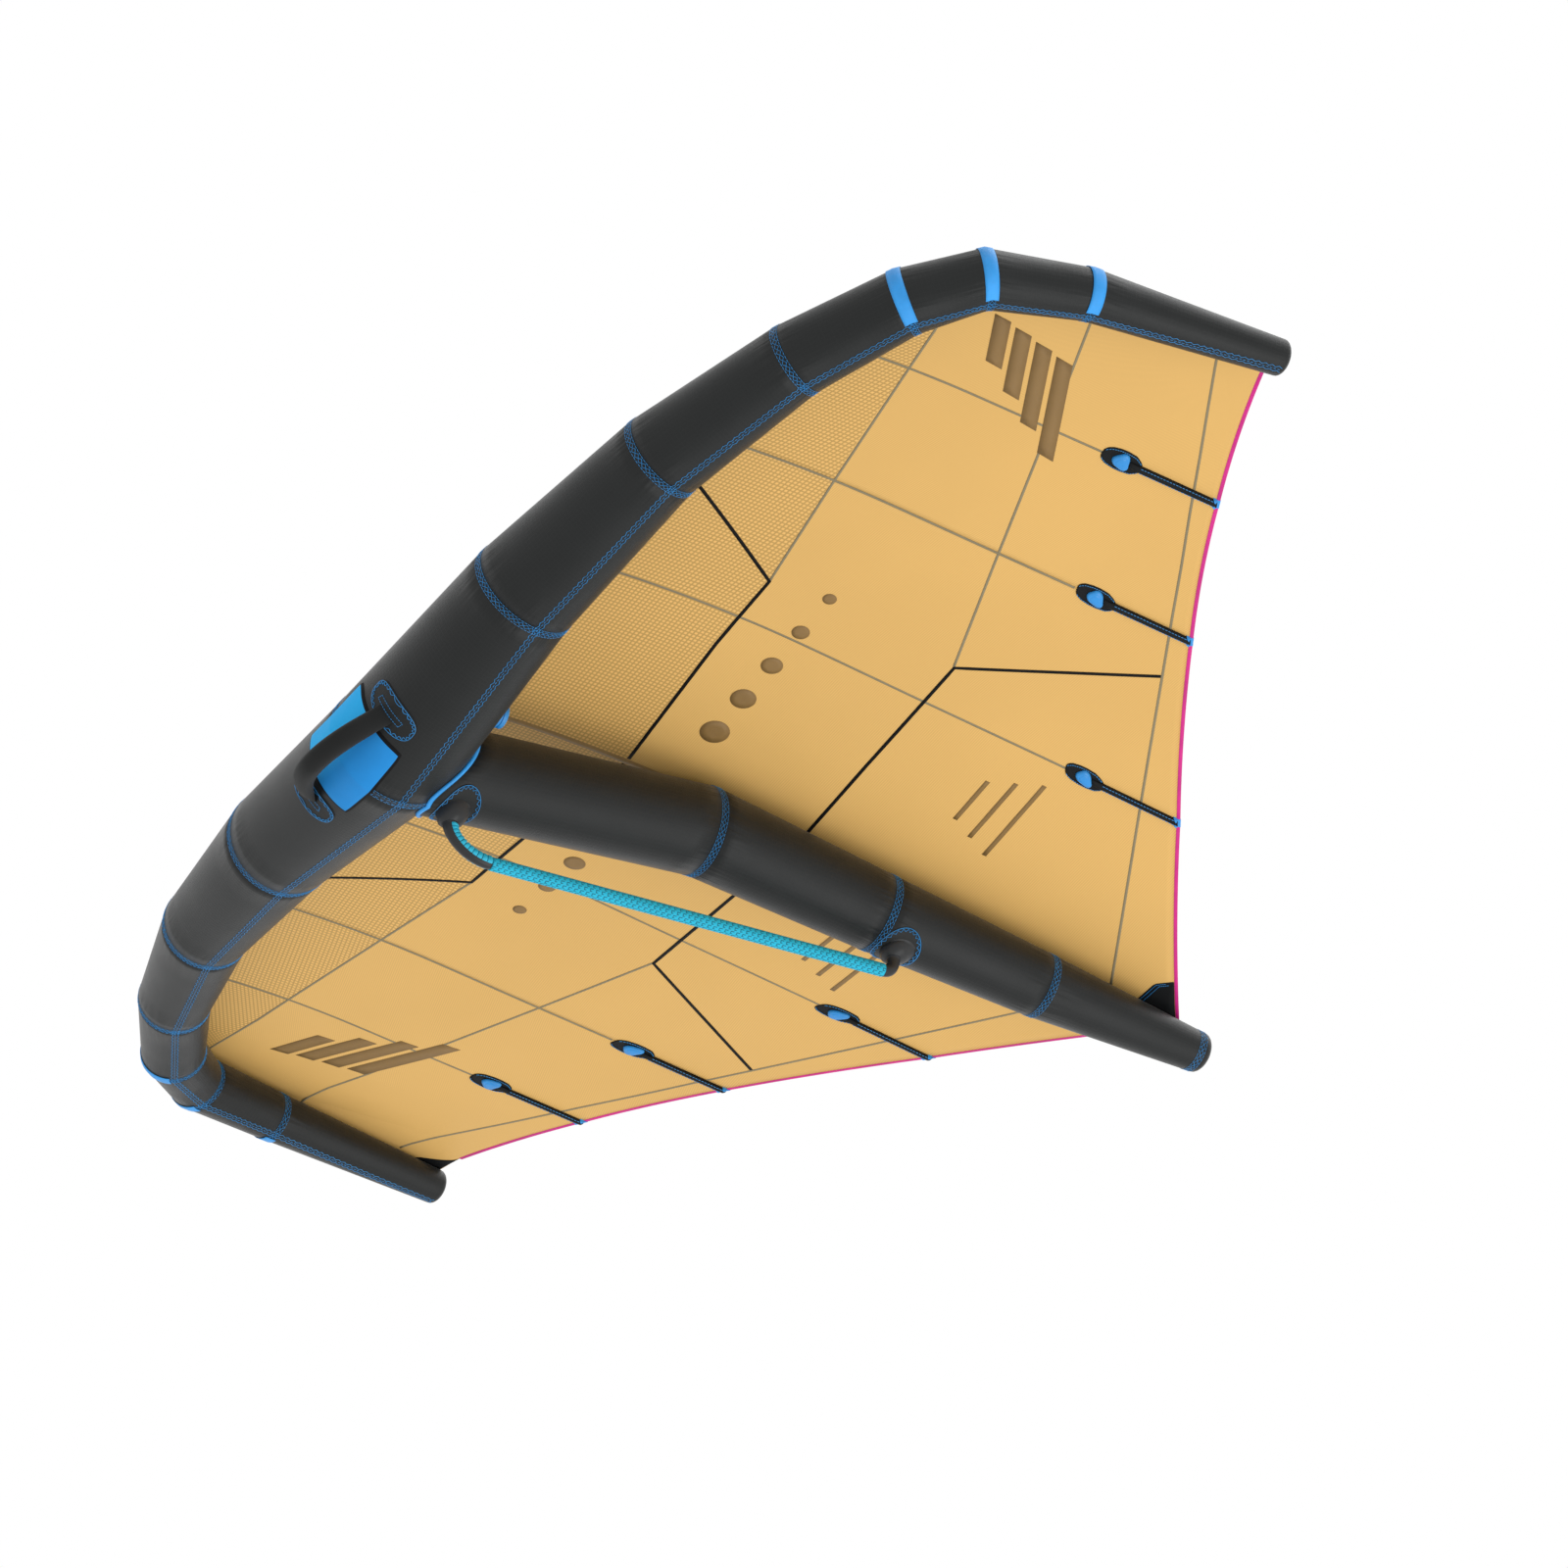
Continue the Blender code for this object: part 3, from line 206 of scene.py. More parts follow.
def strut_height(y, way):
    """Height of the strut's top (way 1) or underside (way -1) in the middle plane."""
    low = min(int(strut_place_at(y)), STRUT_END - 1)
    first, second = (STRUT_CENTRES[low + k] + STRUT_AXES[low][k] * STRUT_RADII[low + k] * way for k in (0, 1))
    return first.z + (second.z - first.z) * (y - first.y) / (second.y - first.y)


print("strut's underside at 0.5 m: %.4f" % strut_height(0.5, -1))

# %% [markdown]
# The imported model's origin is the middle of the boom's grip, where the hand holds the wing. Everything here
# is worked out round the middle of the leading edge, then moved by one step, the same for each point.

# %% The boom's line, and the step to the model's origin
GRIP_FRONT_Y, GRIP_REAR_Y = 0.223, 1.1235
GRIP_FRONT_DROP, GRIP_REAR_DROP = 0.1056, 0.0577
grip_front = Vector((0.0, GRIP_FRONT_Y, strut_height(GRIP_FRONT_Y, -1) - GRIP_FRONT_DROP))
grip_rear = Vector((0.0, GRIP_REAR_Y, strut_height(GRIP_REAR_Y, -1) - GRIP_REAR_DROP))
DATUM = -(grip_front + grip_rear) / 2
print("step to the origin", [round(v, 5) for v in DATUM])

# %% [markdown]
# ## The cloth between the tubes
#
# The canopy hangs between the leading edge and a trailing edge that draws in a little between the battens.
# Each rib is a straight line plus a camber, whose height follows a smooth curve through a few points.

# %% Sizes of the canopy
TE_MIDDLE_Y, TE_TIP_Z, TE_HOLLOW = 1.822, 0.346, 0.006
TE_X_SHARES = (0.0, 0.290, 0.548, 0.750, 0.949)
TE_Y_SHARES = (1.0, 0.8375, 0.708, 0.6273, 0.570)
TE_Z_SHARES = (0.145, 0.410, 0.647, 0.824, 1.0)
CAMBERS_BESIDE = (0.062, 0.0405, 0.029, 0.020, 0.013, 0.006, 0.0)
PROFILE_SHARES = ((0.0, 0.0), (0.07, 0.46), (0.15, 0.77), (0.25, 0.95), (0.34, 1.0),
                  (0.42, 0.95), (0.61, 0.65), (0.82, 0.33), (1.0, 0.0))
LEAVING_DEG = (-8.0, -10.0, -10.0, -8.0, 0.0, 10.0, 20.0, 35.0)
RIBS = ((0.0, 0.0), (1.0, 1.0), (2.0, 2.0), (3.0, 3.0), (3.5, 3.2), (4.0, 3.4), (4.5, 3.5), (7.0, 4.0))
CANOPY_LIFT, CANOPY_CLEARANCE, CLOTH = 0.0003, 0.0012, 0.0011
TE_POINTS = [Vector((TIP_X * x, TE_MIDDLE_Y * y, TE_TIP_Z * z))
             for x, y, z in zip(TE_X_SHARES, TE_Y_SHARES, TE_Z_SHARES)]
print("trailing edge points a side", len(TE_POINTS))

# %% Points on the canopy
def profile_height(share):
    """A smooth curve through the profile's points, its slope at each one taken from the two beside it."""
    points = PROFILE_SHARES
    slopes = []
    for i in range(len(points)):
        before, after = points[max(i - 1, 0)], points[min(i + 1, len(points) - 1)]
        slopes.append((after[1] - before[1]) / (after[0] - before[0]))
    for i in range(len(points) - 1):
        (x0, y0), (x1, y1) = points[i], points[i + 1]
        if share <= x1:
            break
    step = x1 - x0
    t = (share - x0) / step
    return ((2 * t**3 - 3 * t**2 + 1) * y0 + (t**3 - 2 * t**2 + t) * step * slopes[i]
            + (3 * t**2 - 2 * t**3) * y1 + (t**3 - t**2) * step * slopes[i + 1])


PROFILE_STEPS = 400
PROFILE = [profile_height(k / PROFILE_STEPS) for k in range(PROFILE_STEPS + 1)]


def middle_camber():
    """The least camber in the middle that keeps the cloth over the strut."""
    start, end = le_point(0.0, LEAVING_DEG[0], CANOPY_LIFT), TE_POINTS[0]
    needed = []
    for centre in STRUT_CENTRES[1:STRUT_END]:
        share = (centre.y - start.y) / (end.y - start.y)
        top = strut_height(centre.y, 1) + CANOPY_CLEARANCE
        needed.append((top - start.z - (end.z - start.z) * share) / profile_height(share))
    return max(needed)


CAMBERS = (middle_camber(),) + CAMBERS_BESIDE


def te_point(place, side=1):
    part = place - panel_at(TE_POINTS, place)
    return mirrored(between(TE_POINTS, place) - BACK * TE_HOLLOW * 4 * part * (1 - part), side)


def canopy_point(place, share, side=1):
    """A point on the cloth's underside, on the rib that starts at a place on the tube."""
    start = le_point(place, between(LEAVING_DEG, place), CANOPY_LIFT, side)
    point = start.lerp(te_point(read_table(RIBS, place), side), share)
    rise = between(PROFILE, min(max(share, 0.0), 1.0) * PROFILE_STEPS)
    return point + UP * between(CAMBERS, place) * rise


def rib_length(place):
    return (canopy_point(place, 1.0) - canopy_point(place, 0.0)).length


print("middle chord %.3f m, camber %.3f m" % (rib_length(0.0), CAMBERS[0]))

# %% [markdown]
# ## A few helpers for meshes
#
# Almost every soft piece is a rectangle of cloth laid on a curved surface. `weave` makes a flat grid with
# the grid operator and moves each vertex to where a function says. A mesh drawn by hand would do it too, but
# the grid also keeps a UV map, here in metres, so that a weave has the same size on each piece. Round pieces
# are grids too: `ringed` wraps one round a row of rings.

# %% Grid, piece and wall helpers
WELD, SLIVER = 0.00002, 0.00001


def uv_layer(bm, name):
    layers = bm.loops.layers.uv
    return layers.get(name) or layers.new(name)


def weave(bm, across, along, at, uv=None, second=None):
    """Adds a grid to the mesh, its vertices at at(u, v). second is a name and a rule for one more UV map."""
    made = bmesh.ops.create_grid(bm, x_segments=across, y_segments=along, size=0.5)["verts"]
    layer = uv_layer(bm, "UVMap")
    other = uv_layer(bm, second[0]) if second else None
    for vert in made:
        u, v = vert.co.x + 0.5, vert.co.y + 0.5
        for loop in vert.link_loops:
            loop[layer].uv = uv(u, v) if uv else (u, v)
            if other:
                loop[other].uv = second[1](u, v)
        vert.co = at(u, v)
    return made


def ringed(bm, sides, rings, uv=None):
    """A grid round rings of (centre, direction, radius), each square to its direction."""
    def at(u, v):
        centre, way, radius = rings[int(round(v * (len(rings) - 1)))]
        return round_point(centre, ACROSS.cross(way), ACROSS, 2 * math.pi * u, radius)

    weave(bm, sides, len(rings) - 1, at, uv)


def merged(bm, fill=False):
    """Closes seams and poles, fills open ends if asked to, and turns the faces outwards."""
    bmesh.ops.remove_doubles(bm, verts=bm.verts, dist=WELD)
    bmesh.ops.dissolve_degenerate(bm, dist=SLIVER, edges=bm.edges)
    if fill:
        bmesh.ops.holes_fill(bm, edges=[edge for edge in bm.edges if edge.is_boundary], sides=0)
    bmesh.ops.recalc_face_normals(bm, faces=bm.faces)


def facing(bm, way):
    """Merges an open sheet's double points and turns its faces to one side."""
    bmesh.ops.remove_doubles(bm, verts=bm.verts, dist=WELD)
    bm.normal_update()
    if sum((face.normal * face.calc_area() for face in bm.faces), Vector()).dot(way) < 0:
        bmesh.ops.reverse_faces(bm, faces=bm.faces)


def placed(name, data):
    made = bpy.data.objects.new(name, data)
    bpy.context.scene.collection.objects.link(made)
    return made


def piece(name, bm, finish, body="wing", stands_for=(), smooth_deg=40, shift=True, thick=0.0):
    """Makes an object of the mesh, moves it to the model's origin and lets it ride on a body.

    A positive thickness goes outwards, a negative one inwards.
    """
    if shift:
        bmesh.ops.translate(bm, verts=bm.verts, vec=DATUM)
    mesh = bpy.data.meshes.new(name)
    bm.to_mesh(mesh)
    bm.free()
    mesh.shade_smooth()
    mesh.set_sharp_from_angle(angle=math.radians(smooth_deg))
    made = placed(name, mesh)
    mesh.materials.append(finish)
    if body:
        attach(made, body)
    if stands_for:
        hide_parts(*stands_for)
    if thick:
        wall = made.modifiers.new("wall", "SOLIDIFY")
        wall.thickness = abs(thick)
        wall.offset = math.copysign(1.0, thick)
        wall.use_even_offset = True
    return made


print("helpers ready")

# %% [markdown]
# ## Finishes
#
# Each finish is a Principled shader with a few procedural nodes. Cloth reads the UV map in metres, so its
# threads follow the panel, and moulded pieces read Object coordinates. A colour is written as it shows on a
# screen and turned linear, which is what the shader wants.

# %% Colours and node helpers
def screen(red, green, blue):
    """A colour from screen values of 0 to 255."""
    return tuple((c / 12.92 if c <= 0.04045 else ((c + 0.055) / 1.055)**2.4)
                 for c in (red / 255, green / 255, blue / 255)) + (1.0,)


def shaded(colour, factor):
    return tuple(min(1.0, c * factor) for c in colour[:3]) + (1.0,)


class Finish:
    """A material under construction: add a node, link it, and read a socket in one call."""

    def __init__(self, name, colour, roughness, metallic=0.0, **sockets):
        self.material = bpy.data.materials.new(name)
        self.material.use_nodes = True
        self.nodes = self.material.node_tree.nodes
        self.links = self.material.node_tree.links
        self.shader = self.nodes["Principled BSDF"]
        sockets.update(Base_Color=colour, Roughness=roughness, Metallic=metallic)
        for socket, value in sockets.items():
            self.shader.inputs[socket.replace("_", " ")].default_value = value
        self.place = self.add("ShaderNodeTexCoord")

    def add(self, kind, **values):
        node = self.nodes.new(kind)
        for key, value in values.items():
            setattr(node, key, value)
        return node

    def feed(self, socket, value):
        """Links another node's output to a socket, or sets a plain value."""
        if isinstance(value, bpy.types.NodeSocket):
            self.links.new(value, socket)
        else:
            socket.default_value = value

    def math(self, operation, first, second=0.0, third=None):
        node = self.add("ShaderNodeMath", operation=operation)
        for socket, value in zip(node.inputs, (first, second, third)):
            if value is not None:
                self.feed(socket, value)
        return node.outputs[0]

    def times(self, first, second):
        return self.math("MULTIPLY", first, second)

    def most(self, first, second):
        return self.math("MAXIMUM", first, second)

    def axes(self, uv_map=None):
        """The two coordinates of the first UV map, or of a named one."""
        source = self.add("ShaderNodeUVMap", uv_map=uv_map).outputs[0] if uv_map else self.place.outputs["UV"]
        split = self.add("ShaderNodeSeparateXYZ")
        self.links.new(source, split.inputs[0])
        return split.outputs[0], split.outputs[1]

    def noise(self, scale, detail=3.0, roughness=0.55, source=None):
        node = self.add("ShaderNodeTexNoise")
        if source is None:
            source = self.place.outputs["Object"]
        for socket, value in (("Scale", scale), ("Detail", detail), ("Roughness", roughness), ("Vector", source)):
            self.feed(node.inputs[socket], value)
        return node.outputs["Fac"]

    def ranged(self, value, low, high, out_low=0.0, out_high=1.0):
        node = self.add("ShaderNodeMapRange", interpolation_type="SMOOTHSTEP")
        for socket, number in zip(node.inputs, (value, low, high, out_low, out_high)):
            self.feed(socket, number)
        return node.outputs["Result"]

    def lines(self, axis, pitch, width):
        """1 on thin lines across one axis, 0 between them."""
        part = self.math("FRACT", self.math("DIVIDE", axis, pitch))
        off = self.math("ABSOLUTE", self.math("SUBTRACT", part, 0.5))
        return self.ranged(off, width / pitch * 0.25, width / pitch * 0.75, 1.0, 0.0)

    def grid(self, pitch, width):
        u, v = self.axes()
        return self.most(self.lines(u, pitch, width), self.lines(v, pitch, width))

    def threads(self, pitch):
        """A plain weave: two sets of threads that cross."""
        return self.times(*(self.math("SINE", self.times(axis, 2 * math.pi / pitch)) for axis in self.axes()))

    def mix(self, share, first, second):
        node = self.add("ShaderNodeMix", data_type="RGBA")
        for socket, value in ((node.inputs["Factor"], share), (node.inputs[6], first), (node.inputs[7], second)):
            self.feed(socket, value)
        return node.outputs[2]

    def mottled(self, colour, scale, detail, darkest, lightest):
        """A colour that wanders softly between two shades of itself."""
        share = self.ranged(self.noise(scale, detail), 0.3, 0.7)
        return self.mix(share, shaded(colour, darkest), shaded(colour, lightest))

    def finish(self, colour, wander, smoothest, roughest, height, distance, strength):
        """Links colour, roughness and bump to the shader."""
        self.links.new(colour, self.shader.inputs["Base Color"])
        self.links.new(self.ranged(wander, 0.2, 0.8, smoothest, roughest), self.shader.inputs["Roughness"])
        bump = self.add("ShaderNodeBump")
        for socket, value in (("Distance", distance), ("Strength", strength), ("Height", height)):
            self.feed(bump.inputs[socket], value)
        self.links.new(bump.outputs["Normal"], self.shader.inputs["Normal"])
        return self.material


print("white is", screen(255, 255, 255))

# %% [markdown]
# The tubes are a heavy charcoal cloth with a coated face. It is nearly flat grey, with a fine weave, a faint
# ripstop line each 9 mm, a soft mottling and a sheen that lightens it where it turns away. Small folds run
# off each seam, so a second UV map holds the distance from it.

# %% Cloth of the tubes
CHARCOAL = screen(26, 28, 28)
FOLD_SCALE, FOLD_REACH, FOLD_HEIGHT = (42.0, 5.0, 1.0), (0.004, 0.085), 60.0
tube = Finish("tube_dacron", CHARCOAL, 0.40, Specular_IOR_Level=0.26, Sheen_Weight=0.06, Sheen_Roughness=0.4)
rip = tube.grid(0.009, 0.0012)
stretched = tube.add("ShaderNodeMapping")
stretched.inputs["Scale"].default_value = FOLD_SCALE
tube.links.new(tube.place.outputs["UV"], stretched.inputs[0])
folds = tube.noise(1.0, 2.0, 0.5, stretched.outputs[0])
near_seam = tube.ranged(tube.axes("rim")[0], *FOLD_REACH, 1.0, 0.0)
pucker = tube.times(tube.times(folds, near_seam), FOLD_HEIGHT)
grain = tube.math("ADD", tube.times(tube.threads(0.0018), 0.5), tube.math("ADD", rip, pucker))
ground = tube.mottled(CHARCOAL, 6.0, 4.0, 0.90, 1.10)
tube_cloth = tube.finish(tube.mix(tube.times(rip, 0.25), ground, shaded(CHARCOAL, 1.5)),
                         tube.noise(6.0, 4.0), 0.34, 0.44, grain, 0.0003, 0.35)
print("made", tube_cloth.name)

# %% [markdown]
# The canopy has two weaves. Ahead of the first long seam it is a strong ripstop with squares of about
# 9 mm, and behind it a light cloth with fine lines along the span. A second UV map holds the place along the
# tube and the share of the chord, and a colour ramp, read as a table, gives the seam's line in it. This
# keeps the border sharp at any distance, which painted vertices wouldn't.

# %% Cloth of the canopy
FRONT_ZONE = ((0.0, 0.300), (0.81, 0.327), (1.275, 0.345), (1.98, 0.338), (2.98, 0.284), (3.57, 0.223),
              (4.70, 0.050), (5.2, 0.0))
PLACE_SPAN = 8.0
AMBER, AMBER_LINE = screen(235, 188, 110), screen(176, 138, 76)
SQUARE, SQUARE_LINE, FINE_PITCH = 0.0092, 0.0034, 0.0046
canopy = Finish("canopy_ripstop", AMBER, 0.60, Specular_IOR_Level=0.25)
place, share = canopy.axes("plan")
ramp = canopy.add("ShaderNodeValToRGB")
canopy.links.new(place, ramp.inputs[0])
stops = ramp.color_ramp.elements
for index, (at, border) in enumerate(FRONT_ZONE):
    stop = stops[index] if index < 2 else stops.new(at / PLACE_SPAN)
    stop.position = at / PLACE_SPAN
    stop.color = (border, border, border, 1.0)
in_front = canopy.math("LESS_THAN", share, ramp.outputs[0])
behind = canopy.math("SUBTRACT", 1.0, in_front)
squares = canopy.times(canopy.grid(SQUARE, SQUARE_LINE), in_front)
fine = canopy.times(canopy.lines(canopy.axes()[1], FINE_PITCH, SQUARE_LINE), behind)
pattern = canopy.math("ADD", canopy.times(squares, 0.78), canopy.times(fine, 0.34))
height = canopy.math("ADD", pattern, canopy.times(canopy.threads(0.0016), 0.15))
canopy_cloth = canopy.finish(canopy.mix(pattern, canopy.mottled(AMBER, 2.2, 3.0, 0.975, 1.02), AMBER_LINE),
                             canopy.noise(3.0, 2.0), 0.50, 0.60, height, 0.0002, 0.4)
print("made", canopy_cloth.name)

# %% [markdown]
# The small finishes: woven tapes, sewing thread, foam, plastic and metal. They share the same helper, each
# with its own colour, its own grain and a little variation, so that none of them is one flat colour.

# %% Tapes, thread and patches
def tape(name, colour, pitch=0.0016, roughness=0.5, change=0.12, **sockets):
    made = Finish(name, colour, roughness, **sockets)
    rib = made.threads(pitch)
    ground = made.mottled(colour, 14.0, 4.0, 1.0 - change, 1.0 + change)
    ribbed = made.mix(made.ranged(rib, 0.2, 1.0, 0.0, 0.35), ground, shaded(colour, 0.75))
    return made.finish(ribbed, made.noise(9.0), roughness - 0.05, roughness + 0.06, rib, 0.0002, 0.5)


def moulded(name, colour, roughness=0.4, change=0.08, grain=420.0, depth=0.0002, metallic=0.0, **sockets):
    made = Finish(name, colour, roughness, metallic, **sockets)
    return made.finish(made.mottled(colour, 18.0, 3.0, 1.0 - change, 1.0 + change), made.noise(30.0),
                       roughness - 0.05, roughness + 0.07, made.noise(grain, 2.0), depth, 0.4)


finishes = {
    "blue_tape": tape("seam_tape_blue", screen(44, 158, 238), roughness=0.45),
    "grey_seam": tape("seam_tape_grey", screen(146, 134, 106), 0.0012, 0.6, 0.05, Specular_IOR_Level=0.2),
    "black_tape": tape("seam_tape_black", screen(10, 11, 12), 0.0012, 0.6, 0.10, Specular_IOR_Level=0.15),
    "binding": tape("edge_tape_pink", screen(208, 14, 132), 0.0014),
    "patch": tape("patch_cloth_black", screen(12, 14, 16), 0.0016, 0.6, 0.10, Specular_IOR_Level=0.2),
    "tube_patch": tape("patch_cloth_charcoal", screen(27, 29, 29), 0.0018, 0.44, 0.06, Specular_IOR_Level=0.24),
    "thread": moulded("thread_blue", screen(46, 140, 206), 0.5, 0.12, 900.0),
    "print": tape("print_brown", screen(138, 106, 56), 0.0016, 0.55, 0.04),
    "print_top": tape("print_brown_top", screen(84, 68, 42), 0.0016, 0.55, 0.04),
    "centre_band": tape("centre_band", screen(158, 124, 70), 0.0016, 0.55, 0.05),
    "blue_plastic": moulded("batten_head_blue", screen(36, 140, 214), 0.35),
    "valve_plastic": moulded("valve_blue", screen(36, 136, 206), 0.35),
    "handle_cloth": tape("handle_neoprene", screen(34, 35, 35), 0.0014, 0.68, 0.08, Specular_IOR_Level=0.14,
                         Sheen_Weight=0.06),
    "boom_plastic": moulded("boom_nylon_grey", screen(44, 45, 46), 0.38, 0.06, 520.0, Specular_IOR_Level=0.30),
    "alloy": moulded("boom_alloy", screen(200, 202, 204), 0.32, 0.04, 300.0, 0.0001, 1.0),
    "film": moulded("bladder_film", screen(226, 228, 232), 0.25, 0.03, 60.0),
    "hose": moulded("hose_clear", screen(210, 214, 220), 0.30, 0.04, 200.0),
}
print("finishes", len(finishes) + 2)

# %% [markdown]
# The grip is moulded foam with rows of hooked scales. The scales are cut by a brick pattern: dark gaps on
# two sides of each brick only, so that a gap turns a corner and then stops, and a short notch inside it.

# %% Foam of the grip
CYAN, TEAL = screen(32, 182, 214), screen(14, 82, 104)
SCALE_LENGTH, SCALE_WIDTH, SCALE_GAP = 0.0116, 0.0086, 0.0016
grip = Finish("grip_foam_cyan", CYAN, 0.62, Specular_IOR_Level=0.3)
rows, column = (grip.math("DIVIDE", axis, size) for axis, size in zip(grip.axes(), (SCALE_WIDTH, SCALE_LENGTH)))
half_a_brick = grip.times(grip.math("FLOOR", rows), 0.5)
along, aside = grip.math("FRACT", grip.math("ADD", column, half_a_brick)), grip.math("FRACT", rows)
hook = grip.times(grip.math("LESS_THAN", along, SCALE_GAP / SCALE_LENGTH), grip.math("LESS_THAN", aside, 0.80))
foot = grip.times(grip.math("LESS_THAN", aside, SCALE_GAP / SCALE_WIDTH), grip.math("LESS_THAN", along, 0.60))
notch = grip.times(grip.math("COMPARE", aside, 0.66, 0.09), grip.math("COMPARE", along, 0.22, 0.16))
marks = grip.most(grip.most(hook, foot), notch)
finishes["grip_foam"] = grip.finish(
    grip.mix(grip.times(marks, 0.85), grip.mottled(CYAN, 25.0, 3.0, 0.93, 1.05), TEAL),
    grip.noise(40.0), 0.58, 0.68, grip.math("SUBTRACT", 1.0, marks), 0.0008, 0.7)
finishes["tail_foam"] = moulded("grip_tail_cyan", CYAN, 0.62, 0.07, 500.0)
print("made", finishes["grip_foam"].name)

# %% [markdown]
# ## The leading edge
#
# Each panel is a grid rolled up along its tube, with 96 faces round it, so the outline is smooth where the
# solid has 24. Panels stay separate pieces that meet at the mitre, as they are sewn, and a wall gives each one
# its thickness inwards. The last panel of a tube goes on over its rounded end.

# %% Cloth panels of the leading edge
ROUND, PANEL_ROWS, END_ROWS, TUBE_WALL = 96, 12, 50, 0.0012
LE_END_SHARE, STRUT_END_SHARE, PANEL_FROM_DEG = 0.84, 0.86, -185.0


def over_end(v, until, on_tube, centre, way, rounding):
    """A point on the tube up to a share of the panel, and past that share on the tube's rounded end."""
    if v <= until:
        return on_tube(v / until)
    turn = math.radians(90.0 * (v - until) / (1.0 - until))
    return centre + (on_tube(1.0) - centre) * math.cos(turn) + way * rounding * math.sin(turn)


def tube_panel(name, node, at, girth, length, until=1.0, keep=None):
    """One panel of tube cloth. Its second UV map holds the distance from its nearer seam."""
    last = until < 1.0
    bm = bmesh.new()
    weave(bm, ROUND, END_ROWS if last else PANEL_ROWS, at, lambda u, v: (u * girth, v * length / until),
          ("rim", lambda u, v: (length * (v if last else min(v, 1 - v)), 0.0)))
    merged(bm)
    if keep is not None:
        passing = bpy.data.meshes.new("passing")
        bm.to_mesh(passing)
        keep.from_mesh(passing)
        bpy.data.meshes.remove(passing)
    piece(name, bm, tube_cloth, stands_for=[node], thick=-TUBE_WALL)


roots = bmesh.new()
for side, word in SIDES:
    for ring in range(TIP):
        until = LE_END_SHARE if ring == TIP - 1 else 1.0

        def at(u, v):
            return over_end(v, until, lambda part: le_point(ring + part, 360.0 * u + PANEL_FROM_DEG, 0.0, side),
                            mirrored(LE_CENTRES[TIP], side), mirrored(direction(LE_CENTRES, TIP - 1), side),
                            LE_TIP_ROUNDING)

        tube_panel(f"le_cloth_{word}_{ring + 1}", f"le_panel_{word}_{ring + 1}", at,
                   2 * math.pi * LE_RADII[ring], panel_length(LE_CENTRES, ring), until, None if ring else roots)
print("panels", 2 * TIP)

# %% [markdown]
# ## The strut
#
# The strut starts where it meets the leading edge. A ray sent forwards along it, from its first seam, finds
# that point for each direction round it, so the cloth ends exactly on the other tube and the welt follows
# the same line.

# %% Where the strut meets the leading edge
le_tree = BVHTree.FromBMesh(roots)
roots.free()


def strut_start(degrees):
    """Place along the first strut panel where it comes out of the leading edge."""
    first, second = strut_point(0.0, degrees), strut_point(1.0, degrees)
    hit = le_tree.ray_cast(second, (first - second).normalized())[0]
    return (hit - first).length / (second - first).length


STARTS = [strut_start(360.0 * k / ROUND) for k in range(ROUND + 1)]


def start_at(u):
    return between(STARTS, (u % 1.0) * ROUND)


print("strut starts %.3f to %.3f of its first panel" % (min(STARTS), max(STARTS)))

# %% Cloth panels of the strut
for ring in range(STRUT_END):
    until = STRUT_END_SHARE if ring == STRUT_END - 1 else 1.0

    def at(u, v):
        if ring == 0:
            low = start_at(u)
            return strut_point(low + (1.0 - low) * v, 360.0 * u)
        return over_end(v, until, lambda part: strut_point(ring + part, 360.0 * u), STRUT_CENTRES[STRUT_END],
                        direction(STRUT_CENTRES, STRUT_END - 1), STRUT_END_ROUNDING)

    tube_panel(f"strut_cloth_{ring + 1}", f"strut_panel_{ring + 1}", at,
               2 * math.pi * STRUT_RADII[ring], panel_length(STRUT_CENTRES, ring), until)
print("strut panels", STRUT_END)

# %% [markdown]
# A blue welt covers the joint of the two tubes. It is a fat sewn cord, so its section is rounded, and it
# lies half on each tube.

# %% Welt round the strut
WELT_HALF, WELT_HEIGHT = 0.0052, 0.0036


def welt_at(u, v):
    place = start_at(u)
    way = direction(STRUT_CENTRES, 0)
    foot = strut_point(place, 360.0 * u)
    out = foot - between(STRUT_CENTRES, place)
    out = (out - way * out.dot(way)).normalized()
    turn = 2 * math.pi * v
    return foot + way * (WELT_HALF * (0.95 + math.cos(turn))) + out * (WELT_HEIGHT * (0.55 + math.sin(turn)))


bm = bmesh.new()
weave(bm, ROUND, 12, welt_at, lambda u, v: (u * 0.6, v * 0.03))
merged(bm)
piece("strut_welt_cord", bm, finishes["blue_tape"], stands_for=["strut_welt"])
print("welt is %.0f mm wide" % (WELT_HALF * 2000))

# %% [markdown]
# ## The canopy
#
# The canopy is one taut sheet in three sewn panels. It takes the same formula as the solids, with many more
# ribs, so the camber shows as a smooth curve. A cloth simulation would add nothing here, because the real
# cloth is pulled flat by the tubes and the battens.

# %% Canopy sheets
def span_metres(place):
    """Distance along the tube from the middle."""
    low = panel_at(LE_CENTRES, place)
    return sum(panel_length(LE_CENTRES, k) for k in range(low)) + panel_length(LE_CENTRES, low) * (place - low)


